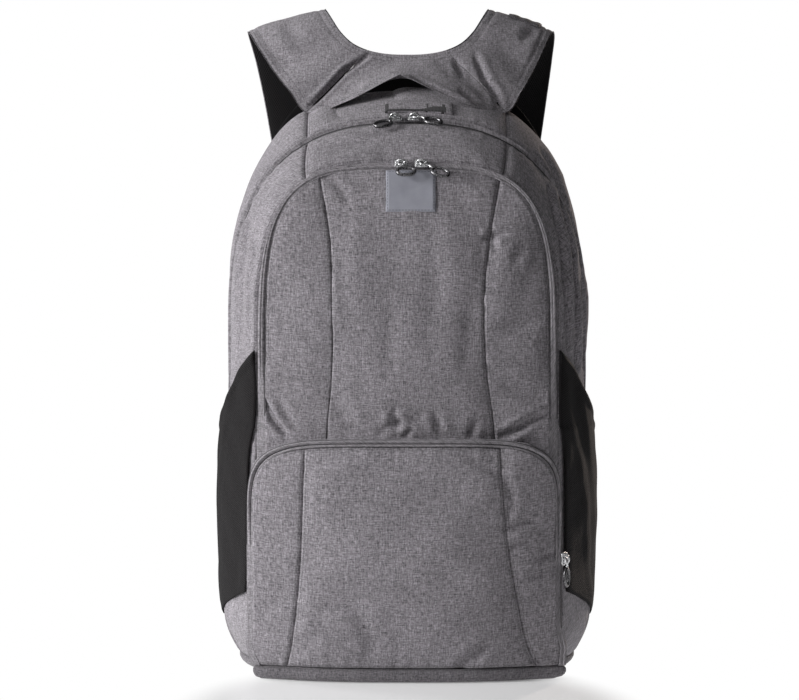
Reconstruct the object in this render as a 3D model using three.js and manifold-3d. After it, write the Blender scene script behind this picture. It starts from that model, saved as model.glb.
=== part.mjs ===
// A day backpack of about 25 litres, standing on its base with its harness raised.
// Millimetres. +Z is up, the front panel faces -Y, the wearer's side faces +Y.
// While it is built, y is 0 where the walls meet the back panel; the last lines centre the whole bag.
import * as THREE from 'three';
import { mergeVertices } from 'three/addons/utils/BufferGeometryUtils.js';
import Module from 'manifold-3d';

const wasm = await Module();
wasm.setup();

// Driving sizes
const BODY_HEIGHT = 481;
const BODY_WIDTH = 293;
const BODY_DEPTH = 162;
const CLOTH = 2.4;
const SEAM_GAP = 0.3;
const BASE_HEIGHT = 12;
const BASE_CLOTH = 3;
const BASE_ROUNDING = 7;
const BOTTOM_TUCK = 16;
const TUCK_HEIGHT = 50;
const WING_FLARE = 4.5;
const FRONT_FULLNESS = 16;
const SEAM_VALLEY = 1.2;
const MAIN_ZIP_WIDTH = 7;
const ZIP_THICKNESS = 3.2;
const ZIP_PROUD = 0.8;
const POCKET_WIDTH = 259;
const POCKET_HEIGHT = 198;
const POCKET_STAND_OFF = 8;
const POCKET_FULLNESS = 28;
const POCKET_ZIP_WIDTH = 5.5;
const GUSSET_CLEARANCE = 3;
const SIDE_POCKET_FULLNESS = 11.5;
const MESH_CLOTH = 1.4;
const MESH_RIM = 2.6;
const BACK_PADDING = 8;
const BACK_HEIGHT = 497;
const STRAP_THICKNESS = 9;
const HARNESS_SHARE = 1.1375;
const HARNESS_REACH = 74;
const STRAP_EDGE_SHARE = 0.45;
const RIGHT_FOLD_IN = 11;
const YOKE_CLOTH = 3.5;
const LABEL_WIDTH = 40;
const LABEL_HEIGHT = 33;
const LABEL_THICKNESS = 1;
const LABEL_RIGHT_OF_CENTRE = 2.8;
const LABEL_BELOW_ZIP = 1.5;
const LOCK_TAB_LENGTH = 55;
const LOCK_TAB_WIDTH = 12;
const LOCK_TAB_RIGHT_OF_CENTRE = 9.5;
const WEB_WIDTH = 24;
const WEB_THICKNESS = 2;
const BUCKLE_THICKNESS = 3;
const BUCKLE_BAR = 4;
const SLOT_HEIGHT = 5.4;
const SLOT_CLEARANCE = 0.8;
const STRAP_TAIL = 42;
const TAIL_LIFT = 3;
const ANCHOR_REACH = 159;
const ANCHOR_UP = 86;
const ANCHOR_HEIGHT = 66;
const ANCHOR_ROOT = 34;
const ANCHOR_IN = 21;
const ANCHOR_ABOVE = 24;
const ANCHOR_OVERLAP = 16;
const SLIDER_LENGTH = 11;
const SLIDER_WIDTH = 8;
const SLIDER_THICKNESS = 2.6;
const BAIL_WIDTH = 2.4;
const BAIL_WIRE = 1.2;
const PULL_WIRE = 1.6;
const PULL_EYE = 6.4;
const PULL_LENGTH = 14;
const PULL_WIDTH = 8.5;
const PULL_CLEARANCE = 0.5;
const BAIL_LENGTH = 7.4;

// Numbers of facets
const ARCH_STEPS = 14;
const SIDE_STEPS = 7;
const STRAP_STEPS = 24;
const PANEL_ROWS = 15;
const POCKET_STEPS = 34;
const POCKET_ROWS = 12;
const BASE_SIDE_STEPS = 8;
const BASE_FRONT_STEPS = 14;
const LOOP_STEPS = 20;
const WEBBING_STEPS = 40;

const HALF_WIDTH = BODY_WIDTH / 2;
const HARNESS_HEIGHT = BODY_HEIGHT * HARNESS_SHARE;
const POCKET_HALF = POCKET_WIDTH / 2;
const ARCH_SHARE = 0.5;
const ARCH_LENGTH = BODY_HEIGHT * 1.2;

// Outlines of the walls from the back seam to the front zip. at: place along the wall, 0 to 1;
// half: share of half the width; top and waist: shares of the height; power: squareness of the arch;
// deepTop and deepLow: shares of the depth at the top and from the waist down.
const WALL = [
  { at: 0.0, half: 0.945, top: 0.98, waist: 0.62, power: 2.6, deepTop: 0.0, deepLow: 0.0 },
  { at: 0.1, half: 0.982, top: 0.988, waist: 0.615, power: 2.6, deepTop: 0.09, deepLow: 0.1 },
  { at: 0.3, half: 1.0, top: 0.99, waist: 0.605, power: 2.6, deepTop: 0.22, deepLow: 0.3 },
  { at: 0.55, half: 0.996, top: 0.9385, waist: 0.592, power: 2.55, deepTop: 0.525, deepLow: 0.58 },
  { at: 0.72, half: 0.925, top: 0.906, waist: 0.56, power: 2.9, deepTop: 0.655, deepLow: 0.75 },
  { at: 0.86, half: 0.8314, top: 0.8696, waist: 0.52, power: 3.5, deepTop: 0.778, deepLow: 0.889 },
  { at: 0.905, half: 0.7816, top: 0.8586, waist: 0.52, power: 4.0, deepTop: 0.81, deepLow: 0.91 },
];
const WALL_SEAM_ANGLE = 32;
const MAIN_ZIP_AT = 0.55;
const FRONT_ZIP_OUTER = 0.86;
const FRONT_ZIP_INNER = 0.905;

// Vertical seams of the front panel. up: share of the height; left and right: shares of half the width.
const FRONT_SEAMS = [
  { up: 0.85, left: 0.484, right: 0.516 },
  { up: 0.74, left: 0.423, right: 0.454 },
  { up: 0.642, left: 0.412, right: 0.422 },
  { up: 0.525, left: 0.412, right: 0.434 },
  { up: 0.416, left: 0.44, right: 0.479 },
  { up: 0.0, left: 0.46, right: 0.5 },
];

// Vertical seams of the lower pocket. up: share of its height; left and right: shares of its half width.
const POCKET_SEAMS = [
  { up: 1.0, left: 0.632, right: 0.584 },
  { up: 0.82, left: 0.645, right: 0.6 },
  { up: 0.5, left: 0.664, right: 0.625 },
  { up: 0.25, left: 0.7, right: 0.71 },
  { up: 0.0, left: 0.75, right: 0.795 },
];
const POCKET_POWER = 4.8;
const POCKET_WAIST = 0.6;

// Upper and lower edge of the side pockets. across: from the back edge to the front edge;
// top and bottom: shares of the height; full: share of the fullness.
const SIDE_POCKET = [
  { across: 0.0, top: 0.4, bottom: 0.075, full: 0 },
  { across: 0.32, top: 0.413, bottom: 0.077, full: 1 },
  { across: 0.5, top: 0.436, bottom: 0.086, full: 0.68 },
  { across: 0.7, top: 0.48, bottom: 0.112, full: 0.3 },
  { across: 0.86, top: 0.524, bottom: 0.13, full: 0.1 },
  { across: 1.0, top: 0.555, bottom: 0.145, full: 0 },
];
const SIDE_POCKET_BACK = 0.08;

// Front edge of the side pockets, which gives way to the lower pocket. up: share of the height; at: place.
const SIDE_POCKET_FRONT = [
  { up: 0.0, at: 0.765 },
  { up: 0.35, at: 0.765 },
  { up: 0.43, at: 0.83 },
  { up: 0.56, at: 0.85 },
];

// Edges of the harness on the left, from the neck over the fold and down behind the bag.
// out and in: shares of half the width; reach: share of the harness reach, where it is behind the back
// seam, or of the depth, where it is in front of it; up: share of the harness height.
const HARNESS = [
  { out: 0.0, outReach: -0.296, outUp: 0.891, in: 0.0, inReach: -0.111, inUp: 0.925 },
  { out: 0.341, outReach: -0.34, outUp: 0.852, in: 0.12, inReach: -0.105, inUp: 0.925 },
  { out: 0.573, outReach: -0.278, outUp: 0.837, in: 0.24, inReach: -0.093, inUp: 0.929 },
  { out: 0.669, outReach: -0.198, outUp: 0.868, in: 0.321, inReach: -0.062, inUp: 0.945 },
  { out: 0.751, outReach: -0.1, outUp: 0.894, in: 0.396, inReach: -0.006, inUp: 0.963 },
  { out: 0.86, outReach: 0.03, outUp: 0.936, in: 0.444, inReach: 0.135, inUp: 0.982 },
  { out: 0.928, outReach: 0.35, outUp: 0.965, in: 0.491, inReach: 0.38, inUp: 1.0 },
  { out: 0.935, outReach: 0.65, outUp: 0.958, in: 0.491, inReach: 0.68, inUp: 0.993 },
  { out: 0.894, outReach: 0.89, outUp: 0.914, in: 0.45, inReach: 0.92, inUp: 0.936 },
  { out: 0.833, outReach: 0.97, outUp: 0.832, in: 0.389, inReach: 1.0, inUp: 0.845 },
  { out: 0.765, outReach: 0.84, outUp: 0.713, in: 0.321, inReach: 0.865, inUp: 0.717 },
  { out: 0.737, outReach: 0.62, outUp: 0.585, in: 0.328, inReach: 0.62, inUp: 0.581 },
  { out: 0.765, outReach: 0.43, outUp: 0.479, in: 0.41, inReach: 0.43, inUp: 0.472 },
  { out: 0.805, outReach: 0.32, outUp: 0.4, in: 0.52, inReach: 0.32, inUp: 0.39 },
];
const YOKE_ROWS = 3;

const group = new THREE.Group();

const FINISH = {
  grey: { color: 0x7a767b, roughness: 0.9, metalness: 0 },
  mesh: { color: 0x1d1b1d, roughness: 0.85, metalness: 0 },
  zip: { color: 0x4c4a4d, roughness: 0.7, metalness: 0 },
  web: { color: 0x232124, roughness: 0.8, metalness: 0 },
  label: { color: 0x7d7f88, roughness: 0.55, metalness: 0 },
  metal: { color: 0xb9b9bc, roughness: 0.3, metalness: 1 },
  plastic: { color: 0x19181a, roughness: 0.45, metalness: 0 },
};

function place(name, geometry, finish, matrix) {
  const mesh = new THREE.Mesh(geometry, new THREE.MeshStandardMaterial(FINISH[finish]));
  mesh.name = name;
  if (matrix) matrix.decompose(mesh.position, mesh.quaternion, mesh.scale);
  group.add(mesh);
  return mesh;
}

const mix = (a, b, t) => a + (b - a) * t;
const clamp = (t) => Math.min(1, Math.max(0, t));

// Smooth value of one column of a table, whose rows are in order of the column named key
function smooth(table, key, column, where) {
  const rising = table[table.length - 1][key] > table[0][key];
  const rows = rising ? table : [...table].reverse();
  const last = rows.length - 1;
  const value = Math.min(rows[last][key], Math.max(rows[0][key], where));
  let i = 0;
  while (i < last - 1 && value > rows[i + 1][key]) i += 1;
  const slope = (a, b) => (rows[b][column] - rows[a][column]) / (rows[b][key] - rows[a][key]);
  const middle = slope(i, i + 1);
  const before = i > 0 ? (slope(i - 1, i) + middle) / 2 : middle;
  const after = i < last - 1 ? (slope(i + 1, i + 2) + middle) / 2 : middle;
  const span = rows[i + 1][key] - rows[i][key];
  const t = (value - rows[i][key]) / span;
  const rise = t * t * (3 - 2 * t);
  return mix(rows[i][column], rows[i + 1][column], rise)
    + span * t * (1 - t) * ((1 - t) * before - t * after);
}

function wallRow(at) {
  const share = (column) => smooth(WALL, 'at', column, at);
  return {
    half: share('half') * HALF_WIDTH,
    top: share('top') * BODY_HEIGHT,
    waist: share('waist') * BODY_HEIGHT,
    power: share('power'),
    deepTop: share('deepTop') * BODY_DEPTH,
    deepLow: share('deepLow') * BODY_DEPTH,
  };
}

// How far the cloth draws in towards the base, from 1 at the ground to 0 at the tuck's height
const tuck = (z) => clamp(1 - z / TUCK_HEIGHT) ** 2;

// The sides flare a little just above the base
function sideEase(z) {
  const wing = Math.exp(-(((z - 0.9 * TUCK_HEIGHT) / (0.6 * TUCK_HEIGHT)) ** 2));
  return WING_FLARE * wing - BOTTOM_TUCK * tuck(z);
}

function wallDepth(row, z) {
  const rise = clamp((z - row.waist) / (row.top - row.waist));
  const deep = mix(row.deepLow, row.deepTop, rise ** 1.5);
  return deep - BOTTOM_TUCK * 0.4 * tuck(z) * (deep / BODY_DEPTH);
}

function wallHalf(row, z) {
  const rise = clamp((z - row.waist) / (row.top - row.waist));
  return row.half * (1 - rise ** row.power) ** (1 / row.power) + sideEase(z);
}

// A point of the wall. v runs along the arch, from -1 at the left base seam over 0 at the top to 1.
function wallPoint(at, v) {
  const row = wallRow(at);
  const along = Math.abs(v);
  let x;
  let z;
  if (along <= ARCH_SHARE) {
    const angle = (along / ARCH_SHARE) * (Math.PI / 2);
    const sin = Math.sin(angle);
    const cos = Math.cos(angle);
    const radius = (sin ** row.power + cos ** row.power) ** (-1 / row.power);
    x = row.half * radius * sin;
    z = row.waist + (row.top - row.waist) * radius * cos;
  } else {
    x = row.half;
    z = mix(row.waist, BASE_HEIGHT, (along - ARCH_SHARE) / (1 - ARCH_SHARE));
  }
  x += Math.min(1, along / ARCH_SHARE) * sideEase(z);
  return new THREE.Vector3(Math.sign(v) * x, -wallDepth(row, z), z);
}

// A point of one side of the wall at a given height
function sidePoint(side, at, z) {
  const row = wallRow(at);
  return new THREE.Vector3(side * wallHalf(row, z), -wallDepth(row, z), z);
}

// Outward normal of a surface given by a function of two numbers, whose cross product points out
function normalOf(surface, a, b, stepA, stepB) {
  const da = surface(a + stepA, b).sub(surface(a - stepA, b));
  const db = surface(a, b + stepB).sub(surface(a, b - stepB));
  return da.cross(db).normalize();
}

const wallNormal = (at, v) => normalOf(wallPoint, at, v, 0.004, 0.004);

// Solid between an outer and an inner sheet of points, each a function of row and column
function sheet(rows, columns, outerAt, innerAt) {
  const positions = [];
  const index = [];
  for (const pointAt of [outerAt, innerAt]) {
    for (let i = 0; i <= rows; i += 1) {
      for (let j = 0; j <= columns; j += 1) positions.push(...pointAt(i / rows, j / columns).toArray());
    }
  }
  const width = columns + 1;
  const layer = (rows + 1) * width;
  const quad = (a, b, c, d) => index.push(a, b, c, a, c, d);
  for (let i = 0; i < rows; i += 1) {
    for (let j = 0; j < columns; j += 1) {
      const a = i * width + j;
      quad(a, a + 1, a + width + 1, a + width);
      quad(layer + a, layer + a + width, layer + a + width + 1, layer + a + 1);
    }
  }
  for (let j = 0; j < columns; j += 1) {
    const far = rows * width + j;
    quad(j + 1, j, layer + j, layer + j + 1);
    quad(far, far + 1, layer + far + 1, layer + far);
  }
  for (let i = 0; i < rows; i += 1) {
    const near = i * width;
    const far = near + columns;
    quad(near, near + width, layer + near + width, layer + near);
    quad(far + width, far, layer + far, layer + far + width);
  }
  return closed(positions, index);
}

// A closed body of the given points and triangles, turned so that its faces point out
function closed(positions, index) {
  const corner = (k) => new THREE.Vector3().fromArray(positions, 3 * index[k]);
  let volume = 0;
  for (let k = 0; k < index.length; k += 3) {
    volume += corner(k).dot(corner(k + 1).cross(corner(k + 2)));
  }
  const faces = volume > 0 ? index : [...index].reverse();
  const geometry = new THREE.BufferGeometry();
  geometry.setAttribute('position', new THREE.Float32BufferAttribute(positions, 3));
  geometry.setIndex(faces);
  geometry.computeVertexNormals();
  return geometry;
}

// Union of closed geometries
function joined(...geometries) {
  const solids = geometries.map((geometry) => {
    const bare = geometry.clone();
    bare.deleteAttribute('normal');
    bare.deleteAttribute('uv');
    const merged = mergeVertices(bare, 1e-4);
    return new wasm.Manifold(new wasm.Mesh({
      numProp: 3,
      vertProperties: new Float32Array(merged.attributes.position.array),
      triVerts: new Uint32Array(merged.index.array),
    }));
  });
  const mesh = solids.reduce((whole, solid) => whole.add(solid)).getMesh();
  const geometry = new THREE.BufferGeometry();
  geometry.setAttribute('position', new THREE.Float32BufferAttribute(mesh.vertProperties, 3));
  geometry.setIndex([...mesh.triVerts]);
  geometry.computeVertexNormals();
  return geometry;
}

// A length of wall cloth between two places along the wall. alongArch gives v, for 0 to 1 along its length.
function wallCloth(atFrom, atTo, alongArch, rows, columns, proud = 0, thickness = CLOTH) {
  const on = (i, j, lift) => {
    const at = mix(atFrom, atTo, j);
    const v = alongArch(i);
    return wallPoint(at, v).addScaledVector(wallNormal(at, v), lift);
  };
  return sheet(rows, columns, (i, j) => on(i, j, proud), (i, j) => on(i, j, proud - thickness));
}

const AT_GAP = SEAM_GAP / BODY_DEPTH / 2;
const V_GAP = SEAM_GAP / ARCH_LENGTH / 2;
const WALL_SEAM_V = (WALL_SEAM_ANGLE / 90) * ARCH_SHARE;
const ZIP_HALF_AT = MAIN_ZIP_WIDTH / BODY_DEPTH / 2;
const TOP_STEPS = Math.round(ARCH_STEPS * (WALL_SEAM_ANGLE / 90)) * 2;
const FLANK_STEPS = ARCH_STEPS - TOP_STEPS / 2 + SIDE_STEPS;

const WALL_LENGTHS = [
  { name: 'left', from: -1, to: -WALL_SEAM_V - V_GAP, steps: FLANK_STEPS },
  { name: 'top', from: -WALL_SEAM_V + V_GAP, to: WALL_SEAM_V - V_GAP, steps: TOP_STEPS },
  { name: 'right', from: WALL_SEAM_V + V_GAP, to: 1, steps: FLANK_STEPS },
];

const onLength = (length) => (i) => mix(length.from, length.to, i);

// Main compartment walls, behind the main zip
for (const length of WALL_LENGTHS) {
  const end = MAIN_ZIP_AT - ZIP_HALF_AT - AT_GAP;
  place(`main_wall_${length.name}`, wallCloth(0, end, onLength(length), length.steps, 5), 'grey');
}

// Front compartment walls, between the two zips
for (const length of WALL_LENGTHS) {
  const start = MAIN_ZIP_AT + ZIP_HALF_AT + AT_GAP;
  const end = FRONT_ZIP_OUTER - AT_GAP;
  place(`front_wall_${length.name}`, wallCloth(start, end, onLength(length), length.steps, 3), 'grey');
}

// The two zips that run round the arch
const ZIP_STEPS = 2 * FLANK_STEPS + TOP_STEPS;

// v along a zip, with its facets at the same places as those of the walls beside it
function alongZip(i) {
  const step = i * ZIP_STEPS;
  if (step <= FLANK_STEPS) return mix(-1, -WALL_SEAM_V, step / FLANK_STEPS);
  const past = step - FLANK_STEPS;
  if (past <= TOP_STEPS) return mix(-WALL_SEAM_V, WALL_SEAM_V, past / TOP_STEPS);
  return mix(WALL_SEAM_V, 1, (past - TOP_STEPS) / FLANK_STEPS);
}

const mainZipEdges = [MAIN_ZIP_AT - ZIP_HALF_AT + AT_GAP, MAIN_ZIP_AT + ZIP_HALF_AT - AT_GAP];
const frontZipEdges = [FRONT_ZIP_OUTER + AT_GAP, FRONT_ZIP_INNER - AT_GAP];
for (const [name, edges] of [['main_zip', mainZipEdges], ['front_zip', frontZipEdges]]) {
  place(name, wallCloth(...edges, alongZip, ZIP_STEPS, 1, ZIP_PROUD, ZIP_THICKNESS), 'zip');
}

// Room that a face leaves beside a zip, whose cloth leans in under it
const EDGE_INSET = 2 * SEAM_GAP + CLOTH / 2;

// Front panel: a full face inside the front zip, drawn in along its seams
const FRONT_ROW = wallRow(FRONT_ZIP_INNER);

function frontSeam(side, z) {
  return side * HALF_WIDTH * smooth(FRONT_SEAMS, 'up', side < 0 ? 'left' : 'right', z / BODY_HEIGHT);
}

function valley(x, z, seam) {
  const near = (side) => Math.exp(-(((x - seam(side, z)) / (5 * CLOTH)) ** 2));
  return SEAM_VALLEY * (near(-1) + near(1));
}

function frontRadius(x, z) {
  const rise = clamp((z - FRONT_ROW.waist) / (FRONT_ROW.top - FRONT_ROW.waist));
  const across = Math.abs(x) / (FRONT_ROW.half + sideEase(z));
  return (rise ** FRONT_ROW.power + across ** FRONT_ROW.power) ** (1 / FRONT_ROW.power);
}

function frontPoint(x, z) {
  const full = FRONT_FULLNESS * (1 - Math.min(1.2, frontRadius(x, z)) ** 2.2);
  return new THREE.Vector3(x, -wallDepth(FRONT_ROW, z) - full + valley(x, z, frontSeam), z);
}

const frontNormal = (x, z) => normalOf(frontPoint, x, z, 0.5, 0.5);

function frontEdge(v) {
  const edge = wallPoint(FRONT_ZIP_INNER, v);
  const inset = EDGE_INSET / FRONT_ROW.half;
  return [edge.x * (1 - inset), edge.z > FRONT_ROW.waist ? mix(edge.z, FRONT_ROW.waist, inset) : edge.z];
}

// A sheet over the front face whose points come from a function of row and column giving [x, z]
function faceCloth(point, normal, rows, columns, planAt, thickness = CLOTH, lift = 0) {
  const on = (i, j, out) => {
    const [x, z] = planAt(i, j);
    return point(x, z).addScaledVector(normal(x, z), out);
  };
  return sheet(rows, columns, (i, j) => on(i, j, lift + thickness), (i, j) => on(i, j, lift));
}

const between = (from, to, t) => [mix(from[0], to[0], t), mix(from[1], to[1], t)];

// v of the arch where a seam of the front panel meets the front zip
function seamTop(side) {
  let low = 0;
  let high = ARCH_SHARE;
  for (let step = 0; step < 40; step += 1) {
    const middle = (low + high) / 2;
    const [x, z] = frontEdge(side * middle);
    if (Math.abs(x) > Math.abs(frontSeam(side, z))) high = middle;
    else low = middle;
  }
  return low;
}

const SEAM_TOPS = { left: seamTop(-1), right: seamTop(1) };

function seamPoint(side, share) {
  const v = side < 0 ? SEAM_TOPS.left : SEAM_TOPS.right;
  const z = mix(frontEdge(side * v)[1], BASE_HEIGHT, share);
  return [frontSeam(side, z), z];
}

const gapInward = (side) => -side * (SEAM_GAP / 2);

function frontFlank(side) {
  const start = (side < 0 ? SEAM_TOPS.left : SEAM_TOPS.right) + 4 * V_GAP;
  return (i, j) => {
    const outer = frontEdge(side * mix(start, 1, i));
    const [x, z] = seamPoint(side, i);
    return between([x - gapInward(side), z], outer, j);
  };
}

function frontCentre(i, j) {
  const v = mix(-SEAM_TOPS.left, SEAM_TOPS.right, j);
  const top = frontEdge(v);
  const z = mix(top[1], BASE_HEIGHT, i);
  const left = frontSeam(-1, z) + SEAM_GAP / 2;
  const right = frontSeam(1, z) - SEAM_GAP / 2;
  return [mix(left, right, j), z];
}

const frontSheet = (rows, columns, plan) => faceCloth(frontPoint, frontNormal, rows, columns, plan, -CLOTH);
place('front_panel_left', frontSheet(PANEL_ROWS, 4, frontFlank(-1)), 'grey');
place('front_panel_centre', frontSheet(PANEL_ROWS, 8, frontCentre), 'grey');
place('front_panel_right', frontSheet(PANEL_ROWS, 4, frontFlank(1)), 'grey');

// Lower pocket: it stands off the front, wraps its corners and has its zip round the edge
const POCKET_WAIST_Z = POCKET_WAIST * POCKET_HEIGHT;

function pocketRadius(x, z) {
  const rise = clamp((z - POCKET_WAIST_Z) / (POCKET_HEIGHT - POCKET_WAIST_Z));
  const across = Math.abs(x) / (POCKET_HALF + Math.min(0, sideEase(z)));
  return (rise ** POCKET_POWER + across ** POCKET_POWER) ** (1 / POCKET_POWER);
}

function pocketSeam(side, z) {
  return side * POCKET_HALF * smooth(POCKET_SEAMS, 'up', side < 0 ? 'left' : 'right', z / POCKET_HEIGHT);
}

function pocketPoint(x, z) {
  const edge = wallDepth(FRONT_ROW, z) + POCKET_STAND_OFF;
  const across = 1 - Math.min(1.1, Math.abs(x) / POCKET_HALF) ** 2.5;
  const sag = 1 - clamp(1 - z / (0.55 * POCKET_HEIGHT)) ** 3;
  const swell = (1 - Math.min(1.1, pocketRadius(x, z)) ** 2.5) * sag;
  const full = POCKET_FULLNESS * (0.62 * across + 0.38 * swell);
  return new THREE.Vector3(x, -edge - full + valley(x, z, pocketSeam), z);
}

const pocketNormal = (x, z) => normalOf(pocketPoint, x, z, 0.5, 0.5);

// Outline of the pocket, drawn in by inset. v runs as along the walls.
const POCKET_ARCH = 0.56;
function pocketEdge(v, inset) {
  const half = POCKET_HALF - inset;
  const along = Math.abs(v);
  let x = half;
  let z = mix(POCKET_WAIST_Z, BASE_HEIGHT, (along - POCKET_ARCH) / (1 - POCKET_ARCH));
  if (along <= POCKET_ARCH) {
    const angle = (along / POCKET_ARCH) * (Math.PI / 2);
    const sin = Math.sin(angle);
    const cos = Math.cos(angle);
    const radius = (sin ** POCKET_POWER + cos ** POCKET_POWER) ** (-1 / POCKET_POWER);
    x = half * radius * sin;
    z = POCKET_WAIST_Z + (POCKET_HEIGHT - inset - POCKET_WAIST_Z) * radius * cos;
  }
  x += Math.min(0, sideEase(z)) * Math.min(1, along / POCKET_ARCH);
  return [Math.sign(v) * x, z];
}

// Depth of the bag's front, panel or wall, behind a point of the pocket's outline
function depthBehind(x, z) {
  if (frontRadius(x, z) <= 1) return frontPoint(x, z).y;
  let low = MAIN_ZIP_AT;
  let high = FRONT_ZIP_INNER;
  for (let step = 0; step < 30; step += 1) {
    const middle = (low + high) / 2;
    if (wallHalf(wallRow(middle), z) > Math.abs(x)) low = middle;
    else high = middle;
  }
  return -wallDepth(wallRow(low), z);
}

function pocketGusset(i, j, inset) {
  const v = mix(-1, 1, i);
  const [x, z] = pocketEdge(v, inset);
  const rear = depthBehind(x, z) - GUSSET_CLEARANCE;
  const front = pocketPoint(...pocketEdge(v, 0)).y + CLOTH;
  return new THREE.Vector3(x, mix(rear, front, j), z);
}
const gusset = sheet(POCKET_STEPS, 1, (i, j) => pocketGusset(i, j, 0), (i, j) => pocketGusset(i, j, CLOTH));
place('pocket_wall', gusset, 'grey');

const pocketRing = (from, to) => (i, j) => {
  const v = mix(-1, 1, i);
  return between(pocketEdge(v, from), pocketEdge(v, to), j);
};
const pocketZip = faceCloth(
  pocketPoint, pocketNormal, POCKET_STEPS, 1, pocketRing(0, POCKET_ZIP_WIDTH), -(CLOTH - SEAM_GAP), ZIP_PROUD,
);
place('pocket_zip', pocketZip, 'zip');

const POCKET_INSET = POCKET_ZIP_WIDTH + EDGE_INSET;
const POCKET_SEAM_V = { left: pocketSeamTop(-1), right: pocketSeamTop(1) };

function pocketSeamTop(side) {
  let low = 0;
  let high = POCKET_ARCH;
  for (let step = 0; step < 40; step += 1) {
    const middle = (low + high) / 2;
    const [x, z] = pocketEdge(side * middle, POCKET_INSET);
    if (Math.abs(x) > Math.abs(pocketSeam(side, z))) high = middle;
    else low = middle;
  }
  return low;
}

function pocketFlank(side) {
  const start = (side < 0 ? POCKET_SEAM_V.left : POCKET_SEAM_V.right) + 8 * V_GAP;
  const topZ = pocketEdge(side * start, POCKET_INSET)[1];
  return (i, j) => {
    const outer = pocketEdge(side * mix(start, 1, i), POCKET_INSET);
    const z = mix(topZ, BASE_HEIGHT, i);
    return between([pocketSeam(side, z) - gapInward(side), z], outer, j);
  };
}

function pocketCentre(i, j) {
  const v = mix(-POCKET_SEAM_V.left, POCKET_SEAM_V.right, j);
  const top = pocketEdge(v, POCKET_INSET);
  const z = mix(top[1], BASE_HEIGHT, i);
  return [mix(pocketSeam(-1, z) + SEAM_GAP / 2, pocketSeam(1, z) - SEAM_GAP / 2, j), z];
}

const pocketSheet = (rows, columns, plan) => faceCloth(pocketPoint, pocketNormal, rows, columns, plan, -CLOTH);
place('pocket_panel_left', pocketSheet(POCKET_ROWS, 4, pocketFlank(-1)), 'grey');
place('pocket_panel_centre', pocketSheet(POCKET_ROWS, 8, pocketCentre), 'grey');
place('pocket_panel_right', pocketSheet(POCKET_ROWS, 4, pocketFlank(1)), 'grey');

// Base: a tray of cloth whose rim meets the walls at the base seam, and the pocket from its corners on
const POCKET_CORNER_AT = 0.79;

function baseRim() {
  const rim = [];
  for (let k = 0; k <= BASE_SIDE_STEPS; k += 1) {
    const point = sidePoint(-1, mix(0, POCKET_CORNER_AT, k / BASE_SIDE_STEPS), BASE_HEIGHT);
    rim.push([point.x, point.y]);
  }
  const half = pocketEdge(1, 0)[0];
  for (let k = 0; k <= BASE_FRONT_STEPS; k += 1) {
    const x = mix(-half, half, k / BASE_FRONT_STEPS);
    rim.push([x, pocketPoint(x, BASE_HEIGHT).y]);
  }
  for (let k = BASE_SIDE_STEPS; k >= 0; k -= 1) rim.push([-rim[k][0], rim[k][1]]);
  const back = SEAM_GAP + BACK_PADDING;
  const corner = rim[0][0];
  for (const share of [1, 0.5, 0, -0.5, -1]) rim.push([share * -corner, back]);
  return rim;
}

function tray(rim, profile) {
  const centre = [0, -BODY_DEPTH / 2];
  const positions = [];
  const index = [];
  const size = rim.length;
  const reach = HALF_WIDTH;
  for (const { inset, z } of profile) {
    for (const [x, y] of rim) {
      const scale = 1 - inset / reach;
      const scaleDeep = 1 - inset / (BODY_DEPTH / 2);
      positions.push(centre[0] + (x - centre[0]) * scale, centre[1] + (y - centre[1]) * scaleDeep, z);
    }
  }
  for (let ring = 0; ring + 1 < profile.length; ring += 1) {
    for (let k = 0; k < size; k += 1) {
      const a = ring * size + k;
      const b = ring * size + ((k + 1) % size);
      index.push(a, b, b + size, a, b + size, a + size);
    }
  }
  for (const ring of [0, profile.length - 1]) {
    const hub = positions.length / 3;
    positions.push(...centre, profile[ring].z);
    for (let k = 0; k < size; k += 1) {
      const a = ring * size + k;
      const b = ring * size + ((k + 1) % size);
      if (ring === 0) index.push(b, a, hub);
      else index.push(a, b, hub);
    }
  }
  return closed(positions, index);
}

place('base_panel', tray(baseRim(), [
  { inset: BASE_ROUNDING, z: 0 },
  { inset: BASE_ROUNDING / 4, z: BASE_ROUNDING / 3 },
  { inset: 0, z: BASE_ROUNDING },
  { inset: 0, z: BASE_HEIGHT - SEAM_GAP },
  { inset: BASE_CLOTH, z: BASE_HEIGHT - SEAM_GAP },
  { inset: BASE_CLOTH, z: BASE_ROUNDING },
  { inset: BASE_ROUNDING, z: BASE_CLOTH },
]), 'grey');

// Back panel: a padded lid on the back of the walls, higher than them in the middle
const BACK_ROW = wallRow(0);

const BACK_CORNER = 0.6 * ARCH_SHARE;

// Outline of the back panel, drawn in by inset. v runs as along the walls.
function backEdge(v, inset) {
  const along = Math.abs(v);
  let x = BACK_ROW.half - inset;
  let z = mix(BACK_ROW.waist, BASE_HEIGHT, (along - ARCH_SHARE) / (1 - ARCH_SHARE));
  if (along <= ARCH_SHARE) {
    const angle = (along / ARCH_SHARE) * (Math.PI / 2);
    const sin = Math.sin(angle);
    const cos = Math.cos(angle);
    const radius = (sin ** BACK_ROW.power + cos ** BACK_ROW.power) ** (-1 / BACK_ROW.power);
    x *= radius * sin;
    z = BACK_ROW.waist + (BACK_HEIGHT - inset - BACK_ROW.waist) * radius * cos;
  }
  return [Math.sign(v) * (x + Math.min(1, along / ARCH_SHARE) * sideEase(z)), z];
}

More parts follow.
